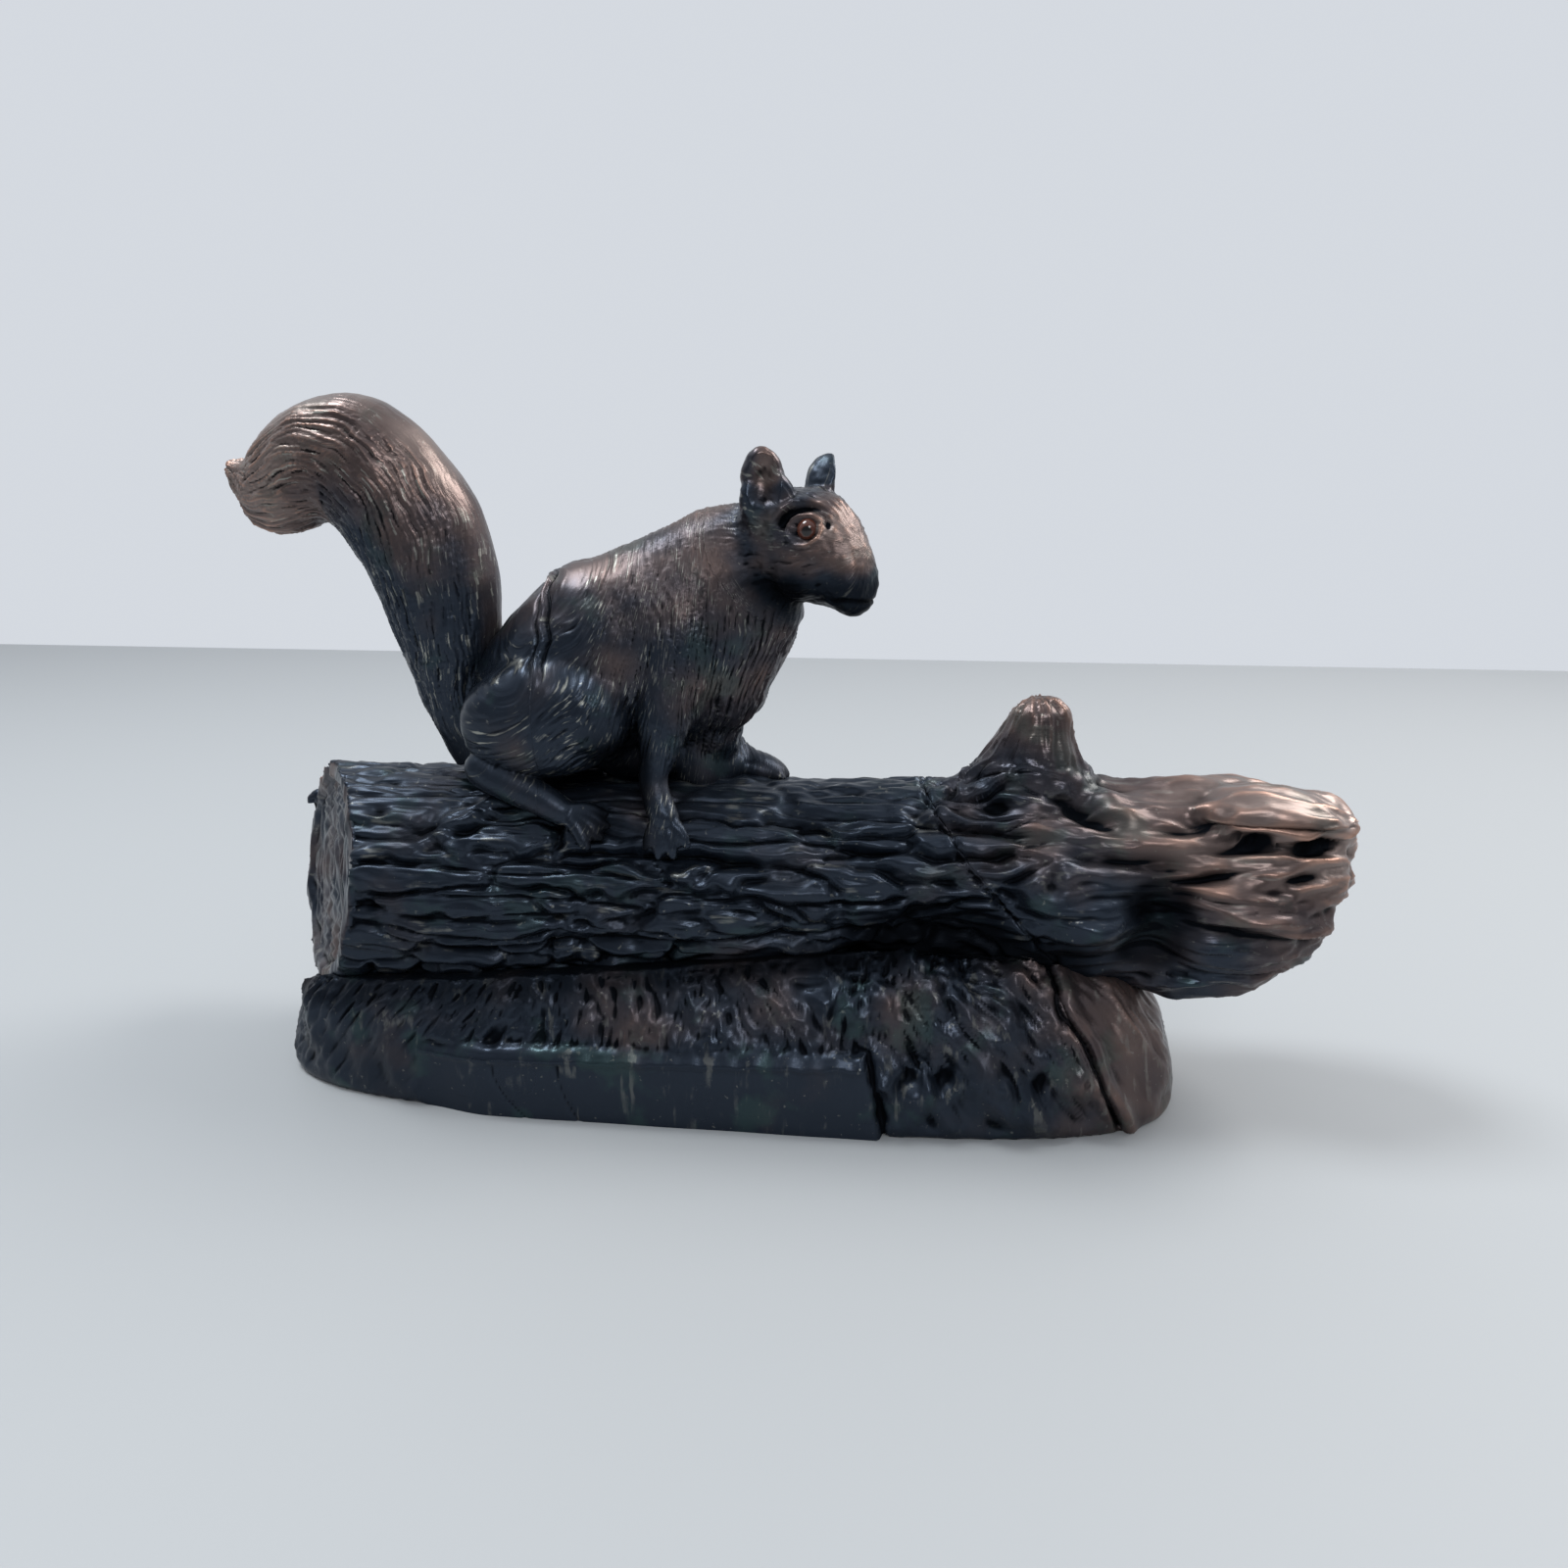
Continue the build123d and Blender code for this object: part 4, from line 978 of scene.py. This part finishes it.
def tailRule(place, normal):
    x, y, z = place
    index = int(np.argmin((tailRows[:, 0] - x) ** 2 + (tailRows[:, 1] - z) ** 2))
    along = tailLengths[index]
    heading = math.radians(tailRows[index, 2])
    inner = -math.sin(heading) * (x - tailRows[index, 0]) + math.cos(heading) * (z - tailRows[index, 1])
    angle = math.atan2(y, inner)
    across = abs(angle) * 7.5
    wave = 1.1 * ripple(x / 7, y / 7, z / 7) + 0.35 * ripple(x / 2.2, y / 2.2, z / 2.2)
    fan = across - 0.16 * along + wave
    strokes = ridge(fan / tail["strokeWidth"], along / tail["strokeLength"], 1)
    strokes += 0.6 * ridge(fan / 0.5, along / 3, 4)
    tufts = ripple(fan / 2.6, along / 9, 6)
    bare = swell(abs(angle), 2.35, 2.75) * swell(along, 12, 20) * (1 - swell(along, 52, 62))
    atHook = swell(along, 52, 66)
    lift = (tail["strokeDepth"] * (strokes - 0.8) + 0.22 * tufts) * (1 - 0.85 * bare) * swell(along, 0, 10)
    hook = 0.35 * atHook * ridge(x / 4, y / 4, z / 4) * swell(math.cos(angle), 0.2, 0.9)
    lift += 0.30 * ripple(x / 5, y / 5, z / 5) + hook
    upper = swell(abs(angle), 0.7, 1.9)
    copper = 0.02 + 0.50 * swell(along, 20, 42) * (0.15 + 0.85 * upper) + 0.42 * swell(along, 44, 60)
    copper += 0.18 * bare + 0.18 * ripple(x / 6, y / 6, z / 6)
    # the last value is painted shade at the root of the tail, where it meets the log
    return onLog(place + normal * lift, 0.0), copper, (fan, along, 0), 0.4 * (1 - swell(along, 2, 9))


bm = bmesh.new()
brush = [
    ((x, 0, z), (math.cos(math.radians(heading)), 0, math.sin(math.radians(heading))), deep, wide)
    for x, z, heading, wide, deep in finer(tail["rows"])
]
addRings(bm, brush, tail["segments"])
tailPiece = fuse(bm, "squirrelTail", tail["voxel"], tail["smoothing"])
carve(tailPiece, tailRule)
markRelief(tailPiece, *tail["relief"])
print("tail shaped")


# Finishes and names

patinas = {  # verdigris, dust, how fine the strokes are each way, their depth, whether they follow the fur
    "moundPatina": (0.25, 0.25, (700, 700, 130), 0.08, False),
    "barkPatina": (0.15, 0.32, (160, 800, 800), 0.10, False),
    "tornWoodPatina": (0.20, 0.20, (160, 900, 900), 0.12, False),
    "furPatina": (0.20, 0.85, (2.4, 0.35, 1), 0.10, True),
    "headPatina": (0.15, 0.55, (3.2, 0.6, 1), 0.06, True),
    "tailPatina": (0.15, 0.80, (2.2, 0.26, 1), 0.10, True),
}
metals = {name: castMetal(name, *values) for name, values in patinas.items()}

finish(baseShell, "base_shell", metals["moundPatina"])
finish(baseRightEnd, "base_right_end", metals["moundPatina"])
finish(logShell, "log_shell", metals["barkPatina"])
finish(logBrokenEnd, "log_broken_end", metals["tornWoodPatina"])
finish(squirrelHind, "squirrel_hindquarters", metals["furPatina"])
finish(squirrelFront, "squirrel_front_body", metals["furPatina"])
finish(squirrelHead, "squirrel_head", metals["headPatina"])
finish(tailPiece, "tail", metals["tailPatina"])


# Eye beads

bead = {
    "irisColour": (0.085, 0.026, 0.016),
    "pupilColour": (0.004, 0.002, 0.002),
    "pupilEdge": (0.86, 0.93),
    "gazeAhead": 0.65,
    "gazeUp": -0.10,
}
eyeMaterial, tree, shader = newTree("eyeBead")
pupilMask = addNode(tree, "ShaderNodeAttribute", attribute_name="pupil").outputs["Fac"]
pupilShare = rangeOf(tree, pupilMask, *bead["pupilEdge"])
eyeColour = mixOf(tree, pupilShare, bead["irisColour"], bead["pupilColour"])
tree.links.new(eyeColour, shader.inputs["Base Color"])
setInputs(shader, Roughness=0.12, Coat_Weight=0.25, Coat_Roughness=0.05)
for hand, name, node in ((-1, "eyeRight", "eye_right"), (1, "eyeLeft", "eye_left")):
    bm = bmesh.new()
    s, side, up = head["eye"]
    outward = headPlace.to_3x3() @ Vector((bead["gazeAhead"], hand, bead["gazeUp"])).normalized()
    middle = headPlace @ Vector((s, hand * side, up))
    place = Matrix.Translation(middle)
    bmesh.ops.create_icosphere(bm, subdivisions=5, radius=head["eyeRadius"], matrix=place)
    eye = toObject(bm, name)
    pupil = [max((vertex.co - middle).normalized().dot(outward), 0) for vertex in eye.data.vertices]
    store(eye.data, "pupil", pupil)
    finish(eye, node, eyeMaterial)


# Hidden hardware and felt keep their solids and get finishes

def plainMetal(name, colour, roughness, scale):  # steel that is a little worn
    material, tree, shader = newTree(name)
    place = addNode(tree, "ShaderNodeTexCoord").outputs["Object"]
    wear = noiseOf(tree, place, scale, 5.0)
    dulled = tuple(share * 0.7 for share in colour)
    tint = mixOf(tree, rangeOf(tree, wear, 0.35, 0.7), colour, dulled)
    tree.links.new(tint, shader.inputs["Base Color"])
    tree.links.new(rangeOf(tree, wear, 0.3, 0.7, roughness, roughness + 0.15), shader.inputs["Roughness"])
    bump = bumpOf(tree, wear, 0.3, 0.00005)
    tree.links.new(bump.outputs["Normal"], shader.inputs["Normal"])
    setInputs(shader, Metallic=1.0)
    return material


def feltCloth():
    material, tree, shader = newTree("greenFelt")
    place = addNode(tree, "ShaderNodeTexCoord").outputs["Object"]
    fibres = noiseOf(tree, place, 1800.0, 6.0)
    green = mixOf(tree, fibres, (0.012, 0.028, 0.018), (0.045, 0.075, 0.05))
    tree.links.new(green, shader.inputs["Base Color"])
    bump = bumpOf(tree, fibres, 0.8, 0.0002)
    tree.links.new(bump.outputs["Normal"], shader.inputs["Normal"])
    setInputs(shader, Roughness=0.95, Sheen_Weight=0.4)
    return material


steelFinish = plainMetal("plainSteel", (0.55, 0.55, 0.56), 0.28, 400.0)
sheetFinish = plainMetal("coverSheet", (0.35, 0.34, 0.33), 0.38, 120.0)
for node, material in (
    ("tie_studs", steelFinish),
    ("tie_washers", steelFinish),
    ("tie_nuts", steelFinish),
    ("cover_screws", steelFinish),
    ("base_cover", sheetFinish),
    ("felt_pad", feltCloth()),
):
    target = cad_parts[node]
    target.data.materials.clear()
    target.data.materials.append(material)


# Floor, light and camera

studio = {
    "floorColour": (0.40, 0.415, 0.425),
    "floorBack": 0.42,
    "floorSize": 6,
    "skyColour": (0.78, 0.82, 0.88),
    "roomColour": (0.24, 0.255, 0.28),
    "worldStrength": 0.85,
    "lamps": [  # place in metres, size, power, colour
        ((-0.30, 0.05, 0.62), 0.26, 2.7, (0.93, 0.97, 1.0)),
        ((0.42, 0.20, 0.50), 0.36, 2.5, (1.0, 0.97, 0.94)),
        ((0.16, -0.50, 0.42), 0.22, 1.0, (0.97, 0.98, 1.0)),
    ],
    "lampAim": (0, 0, 0.04),
}
bm = bmesh.new()
bmesh.ops.create_grid(bm, x_segments=1, y_segments=1, size=studio["floorSize"])
bmesh.ops.translate(bm, verts=bm.verts, vec=(0, studio["floorBack"] - studio["floorSize"], 0))
floor = toObject(bm, "floor")
floorMaterial, tree, shader = newTree("paleFloor")
shader.inputs["Base Color"].default_value = (*studio["floorColour"], 1)
setInputs(shader, Roughness=0.6)
floor.data.materials.append(floorMaterial)

world = bpy.data.worlds.new("studio")
bpy.context.scene.world = world
world.use_nodes = True
tree = world.node_tree
background = tree.nodes["Background"]
direction = addNode(tree, "ShaderNodeTexCoord").outputs["Generated"]
parts = addNode(tree, "ShaderNodeSeparateXYZ")
tree.links.new(direction, parts.inputs["Vector"])
# paler behind the figure and above it, darker in front
towards = added(tree, parts.outputs["Y"], multiplied(tree, parts.outputs["Z"], 0.9))
sky = mixOf(tree, rangeOf(tree, towards, -0.35, 0.6), studio["roomColour"], studio["skyColour"])
tree.links.new(sky, background.inputs["Color"])
background.inputs["Strength"].default_value = studio["worldStrength"]

for place, size, power, colour in studio["lamps"]:
    light = bpy.data.lights.new("softbox", "AREA")
    light.shape = "DISK"
    light.size = size
    light.energy = power
    light.color = colour
    lamp = newObject("softbox", light)
    lamp.location = Vector(place)
    lamp.rotation_euler = (Vector(studio["lampAim"]) - Vector(place)).to_track_quat("-Z", "Y").to_euler()

shot = {
    "place": (28.0, -158.0, 85.0),  # in millimetres from the middle of the base
    "pitch": -14.6,
    "yaw": 6.777,
    "lens": 26.325,
    "clipStart": 0.01,
}
lens = bpy.data.cameras.new("camera")
lens.lens = shot["lens"]
lens.clip_start = shot["clipStart"]
camera = newObject("camera", lens)
camera.location = toScene @ Vector(shot["place"])
camera.rotation_euler = (math.radians(90 + shot["pitch"]), 0, math.radians(shot["yaw"]))
bpy.context.scene.camera = camera
bpy.context.scene.view_settings.view_transform = "Standard"
